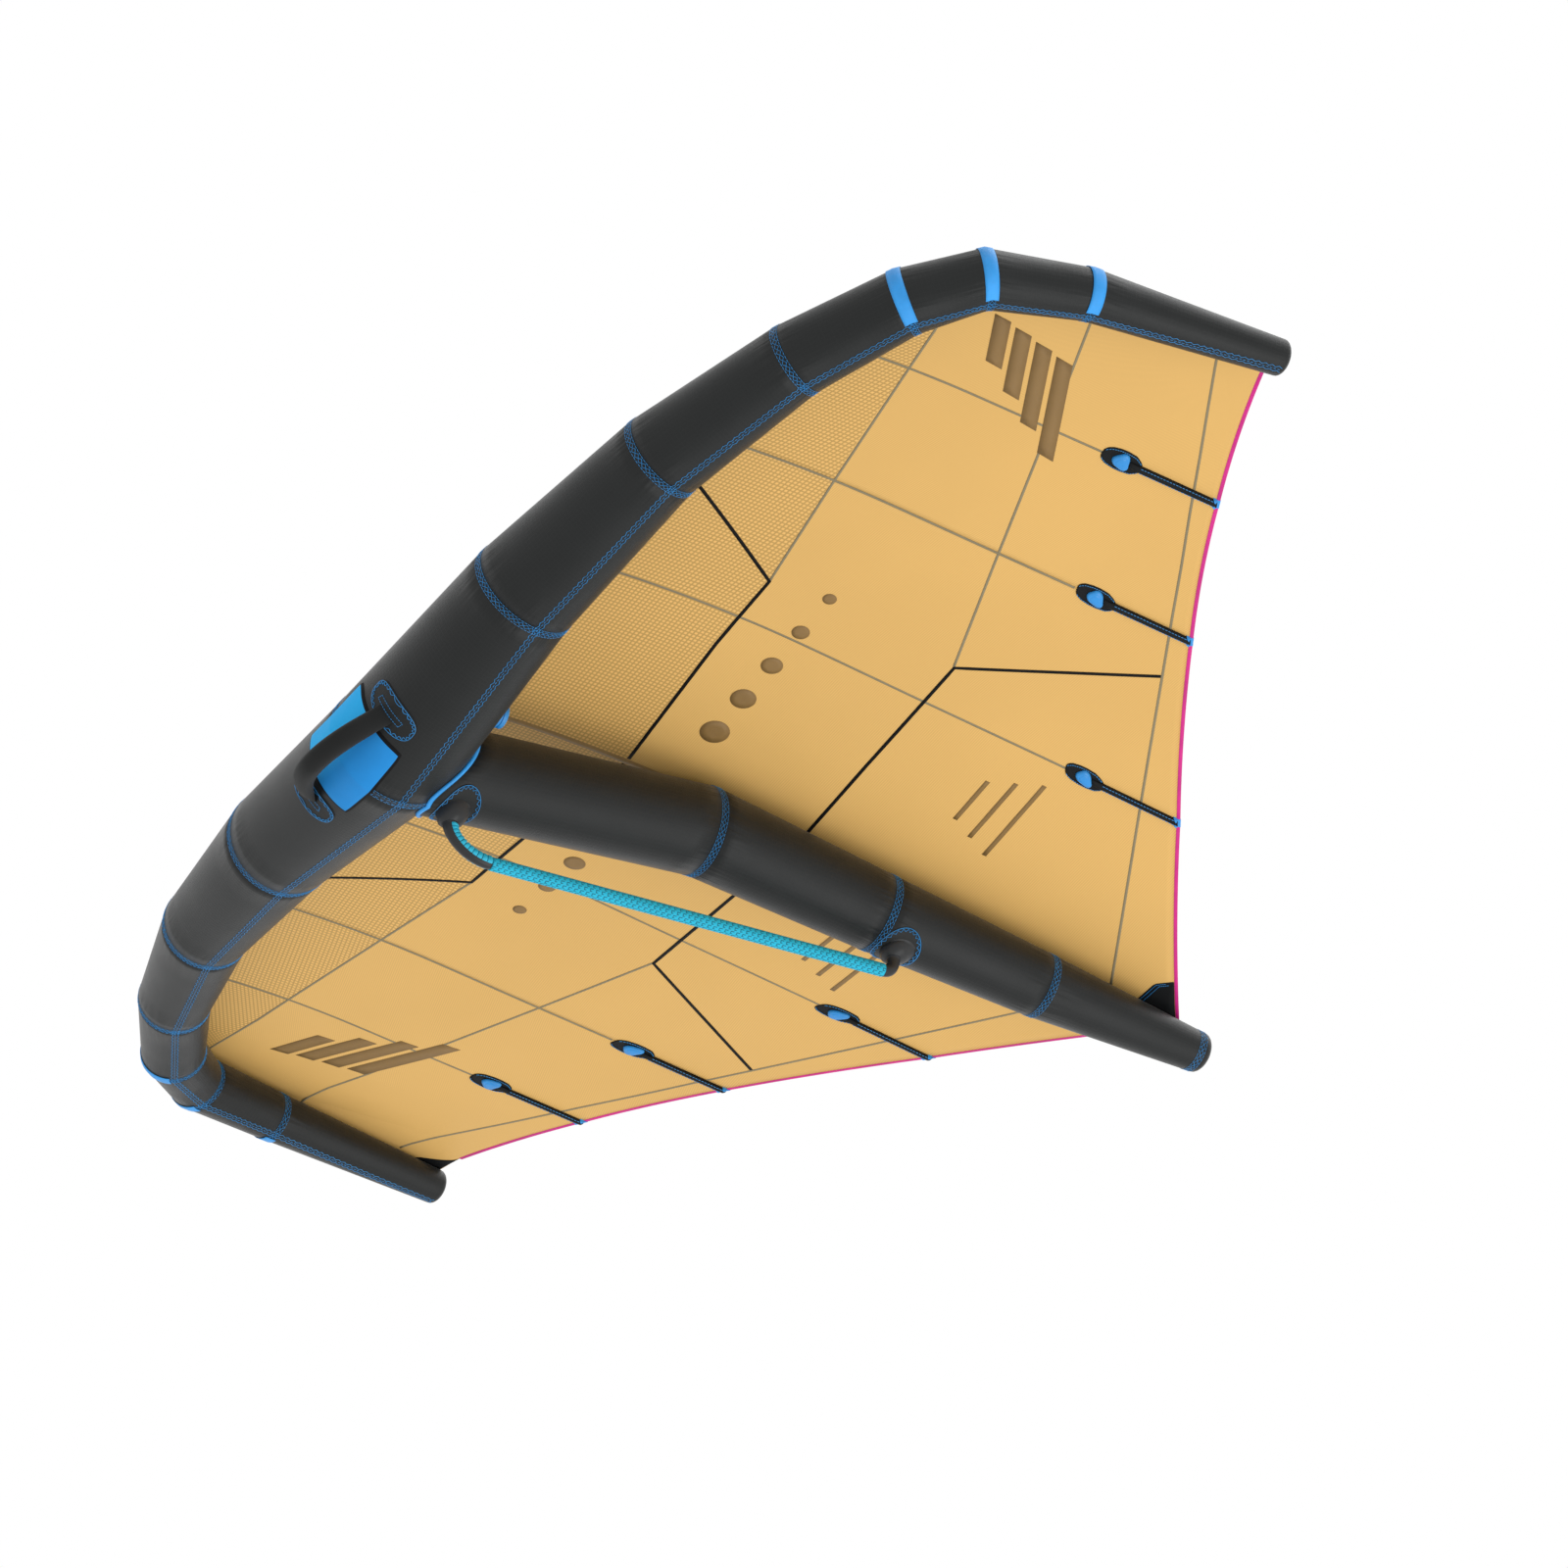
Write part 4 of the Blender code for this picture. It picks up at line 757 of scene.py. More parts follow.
for name, node, first, last, columns, flat in (
        ("canopy_sheet_middle", "canopy_middle", -2.0, 2.0, 120, (1.78, 2.08)),
        ("canopy_sheet_right", "canopy_right", 2.0, 7.0, 110, (1.30, 1.30)),
        ("canopy_sheet_left", "canopy_left", -2.0, -7.0, 110, (1.30, 1.30))):
    def place_at(u):
        return first + (last - first) * u

    def at(u, v):
        return canopy_point(abs(place_at(u)), v, 1 if place_at(u) >= 0 else -1)

    def metres(u, v):
        place = abs(place_at(u))
        return math.copysign(span_metres(place), place_at(u)), v * rib_length(place)

    bm = bmesh.new()
    weave(bm, columns, 72, at, metres, ("plan", lambda u, v: (abs(place_at(u)) / PLACE_SPAN, v)))
    facing(bm, UP)
    area = sum(face.calc_area() for face in bm.faces)
    sheet = piece(name, bm, canopy_cloth, stands_for=[node], thick=CLOTH)
    print("%s: %.3f square metres" % (name, area))

# %% [markdown]
# ## Seams in the canopy
#
# Every seam is a narrow tape. `ribbon` follows a line of (place, share) spots, takes the cloth's slope from
# its neighbours, and lays a strip a third of a millimetre off the cloth, below it and above it.

# %% Spots on the cloth
PLACE_STEP, SHARE_STEP, PROBE = 0.02, 0.01, 0.004
PLACE_LIMITS, SHARE_LIMITS = (0.0, 6.98), (-0.02, 1.02)


def clamped(value, low, high):
    return max(low, min(high, value))


def cloth_normal(place, share, side):
    a = canopy_point(min(place + PLACE_STEP, 7.0), share, side) \
        - canopy_point(max(place - PLACE_STEP, 0.0), share, side)
    b = canopy_point(place, min(share + SHARE_STEP, 1.0), side) \
        - canopy_point(place, max(share - SHARE_STEP, 0.0), side)
    normal = a.cross(b).normalized()
    return normal if normal.z > 0 else -normal


def spot_at(x, y, place, share):
    """The (place, share) of a point seen from above, found from a guess by Newton's steps."""
    for _ in range(8):
        at = canopy_point(place, share)
        off_x, off_y = x - at.x, y - at.y
        if abs(off_x) + abs(off_y) < 1e-6:
            break
        by_place = (canopy_point(place + PROBE, share) - at) / PROBE
        by_share = (canopy_point(place, share + PROBE) - at) / PROBE
        area = by_place.x * by_share.y - by_place.y * by_share.x
        place += clamped((off_x * by_share.y - off_y * by_share.x) / area, -0.4, 0.4)
        share += clamped((off_y * by_place.x - off_x * by_place.y) / area, -0.3, 0.3)
        place, share = clamped(place, *PLACE_LIMITS), clamped(share, *SHARE_LIMITS)
    return place, share


def trace(points, step=0.025):
    """Spots along lines that are straight as seen from above, a step in metres apart."""
    spots = [points[0]]
    for (p0, s0), (p1, s1) in zip(points, points[1:]):
        first, last = canopy_point(p0, s0), canopy_point(p1, s1)
        count = max(2, int((last - first).length / step))
        for k in range(1, count):
            at = first.lerp(last, k / count)
            spots.append(spot_at(at.x, at.y, p0 + (p1 - p0) * k / count, s0 + (s1 - s0) * k / count))
        spots.append((p1, s1))
    return spots


def off_cloth(spot, lift, side):
    """A point off the cloth. A positive lift is below it, a negative one above its upper face."""
    normal = cloth_normal(*spot, side)
    return canopy_point(*spot, side) + (-normal * lift if lift > 0 else normal * (CLOTH - lift))


def lay(bm, across, along, at, lift, uv):
    """Adds a grid that faces down if it lies below the cloth, and up if above."""
    made = weave(bm, across, along, at, uv)
    bm.normal_update()
    faces = {face for vert in made for face in vert.link_faces}
    want = -1 if lift > 0 else 1
    bmesh.ops.reverse_faces(bm, faces=[face for face in faces if face.normal.z * want < 0])


print("middle of the cloth slopes", [round(c, 3) for c in cloth_normal(1.0, 0.5, 1)])

# %% Seams and the middle band
GREY_SEAM, DARK_SEAM, SEAM_LIFT, SEAM_THICK = 0.0052, 0.0074, 0.0004, 0.0003
SEAM_A = ((1.27, 0.345), (1.98, 0.338), (2.98, 0.284), (3.57, 0.223), (4.7, 0.05), (4.92, 0.006))
SEAM_B = ((1.27, 0.638), (1.98, 0.641), (2.99, 0.607), (5.0, 0.419), (6.1, 0.04), (6.18, 0.006))
SEAM_C = ((0.03, 0.9145), (0.42, 0.928), (0.85, 0.940), (1.29, 0.951), (1.74, 0.9595), (2.09, 0.962),
          (2.46, 0.961), (2.85, 0.951), (3.64, 0.929), (4.87, 0.883), (6.29, 0.677), (6.481, 0.536),
          (6.617, 0.339), (6.707, 0.093))
CHORD_SEAMS = (((3.0, 0.004), (3.0, 0.733)), ((2.0, 0.004), (2.0, 0.783)), ((1.0, 0.004), (1.0, 0.830)))
BLACK_1 = ((1.74, 0.125), (1.67, 0.165), (1.275, 0.345), (0.81, 0.327), (0.02, 0.300))
BLACK_2 = ((1.74, 0.957), (1.265, 0.639), (0.55, 0.567), (0.03, 0.520))
BAND_HALF_PLACE, BAND_START, BAND_SHARE = 0.016, 0.006, 0.985


def ribbon(bm, spots, width, lift, side):
    """A strip along a row of spots on the cloth."""
    points = [canopy_point(*spot, side) for spot in spots]
    middle = [off_cloth(spot, lift, side) for spot in spots]
    count = len(spots) - 1
    across = []
    for k, spot in enumerate(spots):
        way = (points[min(k + 1, count)] - points[max(k - 1, 0)]).normalized()
        across.append(way.cross(cloth_normal(*spot, side)).normalized() * width)

    def at(u, v):
        k = int(round(u * count))
        return middle[k] + across[k] * (v - 0.5)

    lay(bm, count, 1, at, lift, lambda u, v: (u * count * 0.025, v * width))


def band_at(u, v):
    spot = (abs(2 * u - 1) * BAND_HALF_PLACE, BAND_START + BAND_SHARE * v)
    return off_cloth(spot, lift, 1 if u >= 0.5 else -1)


for label, finish, slot, lines, width, rise in (
        ("canopy_seams", "grey_seam", "canopy_cloth", (SEAM_A, SEAM_B, SEAM_C) + CHORD_SEAMS, GREY_SEAM, 1.0),
        ("canopy_dark_seams", "black_tape", "reinforcement", (BLACK_1, BLACK_2), DARK_SEAM, 1.6)):
    traced = [trace(line) for line in lines]
    for side, word in SIDES:
        bm = bmesh.new()
        for lift in (SEAM_LIFT * rise, -SEAM_LIFT * rise):
            for spots in traced:
                ribbon(bm, spots, width, lift, side)
        piece(f"{label}_{word}", bm, finishes[finish], thick=-SEAM_THICK)
bm = bmesh.new()
for lift in (SEAM_LIFT, -SEAM_LIFT):
    lay(bm, 2, 60, band_at, lift, lambda u, v: (u * 0.015, v * 2.0))
piece("canopy_middle_band", bm, finishes["centre_band"], thick=-SEAM_THICK)
print("seams a side", 8)

# %% [markdown]
# ## Marks and corner patches
#
# The upper face carries brown marks that show through the cloth. They are plain bars and discs, thin sheets
# a hair off each face. Black cloth stiffens the corners at the strut and at the tips.

# %% Brown marks
def metres_from(spot, forward, aside):
    """A spot some metres from another: forward to the leading edge, aside away from the middle."""
    at = canopy_point(*spot)
    return spot_at(at.x + aside, at.y - forward, *spot)


def bar(bm, spot, length, width, lift, side, degrees=0.0, lean=0.0):
    """A slanted bar, its long side turned by degrees from the span."""
    c, s = math.cos(math.radians(degrees)), math.sin(math.radians(degrees))

    def at(u, v):
        a, b = (u - 0.5) * length + (v - 0.5) * lean, (v - 0.5) * width
        return off_cloth(metres_from(spot, a * s + b * c, a * c - b * s), lift, side)

    lay(bm, 10, 2, at, lift, lambda u, v: (u * length, v * width))


def disc(bm, spot, radius, lift, side):
    def at(u, v):
        turn = 2 * math.pi * u
        return off_cloth(metres_from(spot, v * radius * math.sin(turn), v * radius * math.cos(turn)), lift, side)

    lay(bm, 28, 2, at, lift, lambda u, v: (u * radius, v * radius))


for side, word in SIDES:
    for lift, finish, label in ((0.0005, "print", "marks_below"), (-0.0005, "print_top", "marks_above")):
        bm = bmesh.new()
        for k in range(4):
            centre = metres_from((3.28, 0.53), 0.062 * k - 0.05, 0.030 * k)
            bar(bm, centre, 0.24 - 0.04 * k, 0.034, lift, side, 24.0, 0.020)
        for k in range(5):
            disc(bm, metres_from((0.80, 0.405), 0.0, 0.105 * k - 0.20), 0.030 - 0.004 * k, lift, side)
        for k in range(3):
            bar(bm, metres_from((0.62, 0.770), 0.05 * k, 0.0), 0.22 - 0.05 * k, 0.010, lift, side)
        bmesh.ops.remove_doubles(bm, verts=bm.verts, dist=WELD)
        piece(f"{label}_{word}", bm, finishes[finish], thick=-0.0002)
print("marks a side", 4 + 5 + 3)

# %% Corner patches
CORNER_FRONT = ((0.0, 0.946), (0.037, 0.950), (0.150, 0.972), (0.205, 0.997))
CORNER_LIFT, CORNER_THICK, CORNER_REAR = 0.0009, 0.0005, 0.9985


def strut_corner(u, v):
    place = 0.004 + 0.201 * u
    front = read_table(CORNER_FRONT, place)
    return off_cloth((place, front + (CORNER_REAR - front) * v), lift, side)


def tip_corner(u, v):
    return off_cloth((6.84 + 0.155 * u, 0.01 + 0.985 * v * min(1.0, 0.12 + 0.88 * u)), lift, side)


for side, word in SIDES:
    bm = bmesh.new()
    for lift in (CORNER_LIFT, -CORNER_LIFT):
        lay(bm, 12, 4, strut_corner, lift, lambda u, v: (u * 0.1, v * 0.1))
        lay(bm, 10, 8, tip_corner, lift, lambda u, v: (u * 0.06, v * 0.08))
    piece(f"corner_patches_{word}", bm, finishes["patch"], thick=-CORNER_THICK)
print("corner patches", 4)

# %% [markdown]
# ## Binding along the trailing edge
#
# A pink tape is folded over the cloth's edge. Its section is a flattened ring, closed all round, carried
# along the edge.

# %% Trailing edge binding
TAPE_HALF, TAPE_BEHIND, TAPE_TALL = 0.0046, 0.0022, 0.0017


def flat_ring(turn, power):
    """A ring's two coordinates, the second pushed out to flatten its faces."""
    return math.cos(turn), powered(math.sin(turn), power)


def tape_at(u, v):
    wide, tall = flat_ring(2 * math.pi * v, 0.6)
    edge = canopy_point(7.0 * u**0.8, 1.0, side) + UP * CLOTH / 2
    return edge + Vector((0.0, TAPE_BEHIND + TAPE_HALF * wide, TAPE_TALL * tall))


for side, word in SIDES:
    bm = bmesh.new()
    weave(bm, 160, 12, tape_at, lambda u, v: (u * 1.9, v * 0.02))
    merged(bm, fill=True)
    piece(f"edge_tape_{word}", bm, finishes["binding"], stands_for=[f"te_binding_{word}"])
print("binding a side about 1.9 m long")

# %% [markdown]
# ## Sewing thread
#
# A stitch row is a line on a strip: `s` runs along the seam and `t` across it, both in metres. Each row is a
# poly curve with a four-sided bevel, the cheapest tube there is, and a piece's rows become one mesh. Real
# thread is a little thinner, but from a few steps away the eye reads the hole and its shadow too.

# %% Stitch rows
THREAD, RING_THREAD, SEAM_THREAD, HANDLE_THREAD = 0.00075, 0.00056, 0.00064, 0.00066
THREAD_LIFT = 0.0004


def zigzag(length, centre, half, pitch):
    count = max(2, int(round(2 * length / pitch)))
    return [[(length * k / count, centre + (half if k % 2 else -half)) for k in range(count + 1)]]


def dashes(length, centre, pitch, share=0.62):
    count = max(1, int(round(length / pitch)))
    return [[(length * k / count, centre), (length * (k + share) / count, centre)] for k in range(count)]


def stitches(name, rows, radius=THREAD):
    """Turns rows of points into one mesh of thin tubes."""
    curve = bpy.data.curves.new(name, "CURVE")
    curve.dimensions = "3D"
    curve.bevel_depth = radius
    curve.bevel_resolution = 0
    curve.use_fill_caps = True
    for row in rows:
        spline = curve.splines.new("POLY")
        spline.points.add(len(row) - 1)
        for point, place in zip(spline.points, row):
            point.co = (*(place + DATUM), 1.0)
    holder = placed(name + "_curve", curve)
    bpy.context.view_layer.update()
    mesh = bpy.data.meshes.new_from_object(holder.evaluated_get(bpy.context.evaluated_depsgraph_get()))
    bpy.data.objects.remove(holder)
    bm = bmesh.new()
    bm.from_mesh(mesh)
    bpy.data.meshes.remove(mesh)
    bpy.data.curves.remove(curve)
    bmesh.ops.remove_doubles(bm, verts=bm.verts, dist=SLIVER)
    return piece(name, bm, finishes["thread"], smooth_deg=60, shift=False)


def on_strip(rows, strip):
    return [[strip(s, t) for s, t in row] for row in rows]


def round_ring(radius, sweep_deg, at):
    """Two crossed zigzags between two broken rows, round a ring. at takes degrees, and metres past the ring."""
    girth = radius * math.radians(sweep_deg)
    rows = zigzag(girth, 0.0, 0.0044, 0.0240) + zigzag(girth, 0.0, -0.0044, 0.0240)
    rows += dashes(girth, -0.0070, 0.0080, 0.72) + dashes(girth, 0.0070, 0.0080, 0.72)
    return on_strip(rows, lambda s, t: at(math.degrees(s / radius), t))


print("thread is %.1f mm thick" % (THREAD * 2000))

# %% Stitches on the strut's corner patches
for side, word in SIDES:
    rows = []
    for inset in (0.0022, 0.0062):
        for k in range(24):
            places = [0.036 + 0.006 * (k + part) for part in (0.0, 0.33, 0.66)]
            rows.append([off_cloth((place, read_table(CORNER_FRONT, place) + inset), 0.0019, side)
                         for place in places])
    stitches(f"corner_stitches_{word}", rows)
print("corner stitches a side", len(rows))

# %% [markdown]
# The long seam runs under the tube, where its two edges overlap: two wavy rows with a broken row between.
# Each ring seam has a chain of crossed zigzags between two broken rows.

# %% Seams of the leading edge
LONG_SEAM_DEG = (-189.0, -186.0, -185.0, -183.5, -181.0, -188.0, -188.0, -171.0)
RING_FROM_DEG, RING_SWEEP_DEG, MIDDLE_FROM_DEG, MIDDLE_SWEEP_DEG = -14.0, 332.0, -12.0, 336.0
for side, word in SIDES:
    long_rows, ring_rows = [], []
    for ring in range(TIP):
        length = panel_length(LE_CENTRES, ring)

        def strip(s, t):
            place = ring + s / length
            degrees = between(LONG_SEAM_DEG, place) + math.degrees(t / between(LE_RADII, place))
            return le_point(place, degrees, THREAD_LIFT, side)

        rows = zigzag(length, -0.0056, 0.0017, 0.0145) + zigzag(length, 0.0056, 0.0017, 0.0145)
        long_rows += on_strip(rows + dashes(length, 0.0, 0.0082), strip)
    for ring in range(1, TIP):
        ring_rows += round_ring(LE_RADII[ring], RING_SWEEP_DEG, lambda turned, t: le_point(
            past_ring(LE_CENTRES, ring, t), RING_FROM_DEG - turned, THREAD_LIFT, side))
    stitches(f"le_seam_stitches_{word}", long_rows, SEAM_THREAD)
    stitches(f"le_ring_stitches_{word}", ring_rows, RING_THREAD)
stitches("le_middle_stitches", round_ring(LE_RADII[0], MIDDLE_SWEEP_DEG, lambda turned, t: le_point(
    le_place_at(abs(t)), MIDDLE_FROM_DEG - turned, THREAD_LIFT, 1 if t >= 0 else -1)), RING_THREAD)
print("ring seams", 2 * (TIP - 1) + 1)

# %% Seams of the strut
END_INSET = 0.010
rows = []
for ring in range(1, STRUT_END + 1):
    inset = END_INSET if ring == STRUT_END else 0.0
    rows += round_ring(STRUT_RADII[ring], 360.0, lambda turned, t: strut_point(
        past_ring(STRUT_CENTRES, ring, t - inset), turned, THREAD_LIFT))
stitches("strut_ring_stitches", rows, RING_THREAD)
print("strut seams", STRUT_END)

# %% [markdown]
# Blue tape covers the three outermost seams of each side. It is cut short of the cloth, where the stitching
# shows again.

# %% Tape over the outer seams
BAND_WIDTH, BAND_LIFT, BAND_FROM_DEG, BAND_SWEEP_DEG, BAND_MIDDLE_DEG = 0.026, 0.0010, -14.0, 158.0, -93.0
for side, word in SIDES:
    for ring in (4, 5, 6):
        def at(u, v):
            return le_point(past_ring(LE_CENTRES, ring, BAND_WIDTH * (v - 0.5)),
                            BAND_FROM_DEG - BAND_SWEEP_DEG * u, BAND_LIFT, side)

        bm = bmesh.new()
        weave(bm, 60, 4, at, lambda u, v: (u * 0.18, v * BAND_WIDTH))
        facing(bm, le_point(ring, BAND_MIDDLE_DEG, 0.0, side) - mirrored(LE_CENTRES[ring], side))
        piece(f"seam_tape_{word}_{ring}", bm, finishes["blue_tape"],
              stands_for=[f"seam_band_{word}_{ring}"], thick=0.0010)
print("tapes", 6)

# %% [markdown]
# ## Battens
#
# Each batten is a rod in a black sleeve. Its blue head is moulded, with a rounded triangle for an outline,
# and a black patch spreads the pull at its front. All of it hangs just under the cloth, so one function gives
# a point by its distance from the patch's front, its distance from the rib, and its depth.

# %% Sizes of the battens
POCKET_LENGTH, PATCH_LENGTH, PATCH_WIDTH = 0.262, 0.088, 0.052
SLEEVE_WIDTH, SLEEVE_DEPTH, SLEEVE_FROM = 0.015, 0.0078, PATCH_LENGTH * 0.66
PATCH_OUTLINE = ((0.0, 0.16), (0.05, 0.31), (0.16, 0.42), (0.36, 0.49), (0.55, 0.50), (0.78, 0.45),
                 (0.93, 0.30), (1.0, 0.17))
BATTENS = [(side, word, seam) for side, word in SIDES for seam in (1, 2, 3)]


def under_cloth(seam, from_front, aside, depth, side):
    share = 1.0 - (POCKET_LENGTH - from_front) / rib_length(seam)
    on_rib = canopy_point(seam, share, side)
    step = 0.5 if aside > 0 else -0.5
    across = (canopy_point(seam + step, share, side) - on_rib).normalized() * abs(aside)
    return on_rib + across - UP * depth


print("patch front at shares", [round(1 - POCKET_LENGTH / rib_length(s), 3) for s in (3, 2, 1)])

# %% Pockets of the battens
def patch_at(u, v):
    half = read_table(PATCH_OUTLINE, v) * PATCH_WIDTH
    rim = min(1.0, 12.0 * min(u, 1.0 - u, v + 0.03, 1.03 - v))
    return under_cloth(seam, v * PATCH_LENGTH, (2 * u - 1) * half, 0.0009 + 0.0012 * rim, side)


def sleeve_at(u, v):
    turn = math.pi * u
    sink = SLEEVE_DEPTH * max(0.0, math.sin(turn))**0.7 * min(1.0, 0.62 + 6.0 * v)
    return under_cloth(seam, SLEEVE_FROM + v * (POCKET_LENGTH - SLEEVE_FROM),
                       -math.cos(turn) * SLEEVE_WIDTH / 2, 0.0010 + sink, side)


BELOW = 1.0
for side, word, seam in BATTENS:
    bm = bmesh.new()
    lay(bm, 14, 24, patch_at, BELOW, lambda u, v: (u * PATCH_WIDTH, v * PATCH_LENGTH))
    lay(bm, 10, 20, sleeve_at, BELOW, lambda u, v: (u * 0.02, v * 0.2))
    piece(f"batten_pocket_cloth_{word}_{seam}", bm, finishes["patch"],
          stands_for=[f"batten_pocket_{word}_{seam}"], thick=-0.0007)
print("pockets", len(BATTENS))

# %% Heads, rods and tabs
HEAD_SIZE, HEAD_CENTRE, HEAD_SINK, BACK_SINK = 0.041, 0.044, 0.0023, 0.0011
DOME_HEIGHT, GROOVE_DEPTH, RIM_DEPTH, RIM_FROM, RIM_TO = 0.0062, 0.0009, 0.0016, 0.72, 0.86
ROD_FROM, ROD_TO, ROD_HALF_WIDTH, ROD_HALF_DEPTH, ROD_DEPTH = 0.012, 0.002, 0.0026, 0.0019, 0.0046
TAB_HALF_WIDTH, TAB_HALF_LENGTH, TAB_THICK, TAB_LIP = 0.0095, 0.0085, 0.0032, 0.0055


def head_at(u, v):
    """A grooved dome from its crown to the rim, then down the rim, then over the flat back."""
    turn, reach = 2 * math.pi * u, 1.0
    if v < RIM_FROM:
        reach = v / RIM_FROM
        groove = GROOVE_DEPTH * math.exp(-((v - 0.46) / 0.035)**2)
        sink = HEAD_SINK + RIM_DEPTH + DOME_HEIGHT * (1.0 - reach**3)**0.5 - groove
    elif v <= RIM_TO:
        sink = HEAD_SINK + RIM_DEPTH * (RIM_TO - v) / (RIM_TO - RIM_FROM)
    else:
        reach, sink = (1.0 - v) / (1.0 - RIM_TO), BACK_SINK
    reach *= HEAD_SIZE / 2 * (0.91 + 0.10 * math.cos(3 * turn + 2.4))
    return under_cloth(seam, HEAD_CENTRE + reach * math.cos(turn), reach * math.sin(turn), sink, side)


def rod_at(u, v):
    turn = 2 * math.pi * u
    grow = min(1.0, 20 * v, 20 * (1 - v))
    return under_cloth(seam, HEAD_CENTRE + ROD_FROM + v * (POCKET_LENGTH - HEAD_CENTRE - ROD_FROM - ROD_TO),
                       ROD_HALF_WIDTH * grow * math.cos(turn),
                       ROD_DEPTH + ROD_HALF_DEPTH * grow * math.sin(turn), side)


def tab_at(u, v):
    wide, tall = flat_ring(2 * math.pi * v, 0.5)
    edge = under_cloth(seam, POCKET_LENGTH, (2 * u - 1) * TAB_HALF_WIDTH, -CLOTH / 2, side)
    lip = TAB_LIP * min(1.0, (0.2 - wide) * 2) if tall < 0 and wide < 0.2 else 0.0
    return edge + Vector((0.0, TAB_HALF_LENGTH * wide - 0.001, (TAB_THICK + lip) * tall))


for side, word, seam in BATTENS:
    bm = bmesh.new()
    weave(bm, 36, 25, head_at)
    weave(bm, 10, 20, rod_at)
    merged(bm)
    piece(f"batten_rod_{word}_{seam}", bm, finishes["blue_plastic"],
          stands_for=[f"batten_{word}_{seam}"])
    bm = bmesh.new()
    weave(bm, 4, 20, tab_at)
    merged(bm, fill=True)
    piece(f"batten_tab_{word}_{seam}", bm, finishes["blue_tape"])
print("rods and tabs", 2 * len(BATTENS))

# %% Stitches of the pockets
RIM_INSET, SLEEVE_STITCH, SLEEVE_STITCHES_FROM = 0.0035, 0.0048, PATCH_LENGTH * 0.98
for side, word in SIDES:
    rows = []
    for seam in (1, 2, 3):
        for way in (1, -1):
            edge = []
            for k in range(49):
                v = 0.035 + 0.93 * k / 48
                half = max(read_table(PATCH_OUTLINE, v) * PATCH_WIDTH - RIM_INSET, 0.002)
                edge.append(under_cloth(seam, v * PATCH_LENGTH, way * half, 0.0029, side))
            rows += [edge[k:k + 3] for k in range(0, 48, 3)]
            for k in range(24):
                start = SLEEVE_STITCHES_FROM + k * (POCKET_LENGTH - SLEEVE_STITCHES_FROM) / 24
                rows.append([under_cloth(seam, start + d, way * 0.0056, 0.0074, side) for d in (0.0, SLEEVE_STITCH)])
    stitches(f"batten_stitches_{word}", rows)
print("stitches a side", len(rows))

# %% [markdown]
# ## Pad and handle
#
# A soft pad saves the tube from knocks, and the handle arches over it. The pad is two grids, its face and
# its back, that share their rim, so it is closed and crowned. Corners are rounded by drawing a square grid in
# where both of its coordinates are near their ends.

# %% Pad on the front of the tube
PAD_HALF, PAD_FROM_DEG, PAD_TO_DEG, PAD_THICK, PAD_DRAW = 0.099, -76.0, -162.0, 0.0032, 0.035
PAD_EDGE_RIGHT = ((0.0, 0.101), (0.12, 0.104), (0.43, 0.106), (0.66, 0.104), (1.0, 0.103))
PAD_EDGE_LEFT = ((0.0, 0.094), (0.25, 0.095), (0.54, 0.098), (1.0, 0.103))
PAD_BLUE = screen(38, 142, 218)
pad_height = math.radians(PAD_FROM_DEG - PAD_TO_DEG) * LE_RADII[0]


def pad_at(u, v, thick):
    a, b = 2 * u - 1, 2 * v - 1
    rim = max(0.0, 1.0 - max(abs(a), abs(b))**10)
    x = a * read_table(PAD_EDGE_RIGHT if a >= 0 else PAD_EDGE_LEFT, v) * (1 - PAD_DRAW * b**10)
    degrees = (PAD_FROM_DEG + PAD_TO_DEG) / 2 + b * (PAD_TO_DEG - PAD_FROM_DEG) / 2 * (1 - PAD_DRAW * a**10)
    return le_point(le_place_at(abs(x)), degrees, 0.0004 + thick * rim**0.4, 1 if x >= 0 else -1)


bm = bmesh.new()
for thick in (PAD_THICK, 0.0):
    weave(bm, 72, 60, lambda u, v: pad_at(u, v, thick), lambda u, v: (u * 2 * PAD_HALF, v * pad_height))
merged(bm)
foam = Finish("pad_foam", PAD_BLUE, 0.60, Specular_IOR_Level=0.15)
u, v = foam.axes()
to_side, to_end = (foam.math("SUBTRACT", half, foam.math("ABSOLUTE", foam.math("SUBTRACT", axis, half)))
                   for axis, half in ((u, PAD_HALF), (v, pad_height / 2)))
edge = foam.ranged(foam.math("MINIMUM", to_side, to_end), 0.0058, 0.0068, 1.0, 0.0)
# Painted highlight: the upper part of the face, up to 75 mm from its top edge and fading out by 125 mm, is a lighter
# blue for the light falling on that side; the foam itself is one blue.
ground = foam.mix(foam.ranged(v, 0.075, 0.125), screen(46, 186, 255), foam.mottled(PAD_BLUE, 11.0, 3.0, 0.95, 1.04))
pad = piece("front_pad_foam", bm, foam.finish(foam.mix(edge, ground, screen(9, 9, 10)), foam.noise(30.0), 0.56,
                                              0.66, foam.noise(900.0, 2.0), 0.0003, 0.35),
            stands_for=["front_pad"])
print("pad %.0f by %.0f mm" % (PAD_HALF * 2000, pad_height * 1000))

# %% [markdown]
# The handle's two patches are stadium shapes of tube cloth. A polar grid, with its rim near the edge, gives
# each one a rounded outline on the curved tube.

# %% Handle patches
PATCH_X, HANDLE_DEG, PATCH_DEG, PATCH_HALF_X, PATCH_HALF_DEG, PATCH_POWER = 0.146, -127.0, -128.0, 0.0315, 30.0, 0.72
PATCH_BOX = ((0.1400, -111.0), (0.1510, -112.5), (0.1510, -144.0), (0.1400, -142.5))


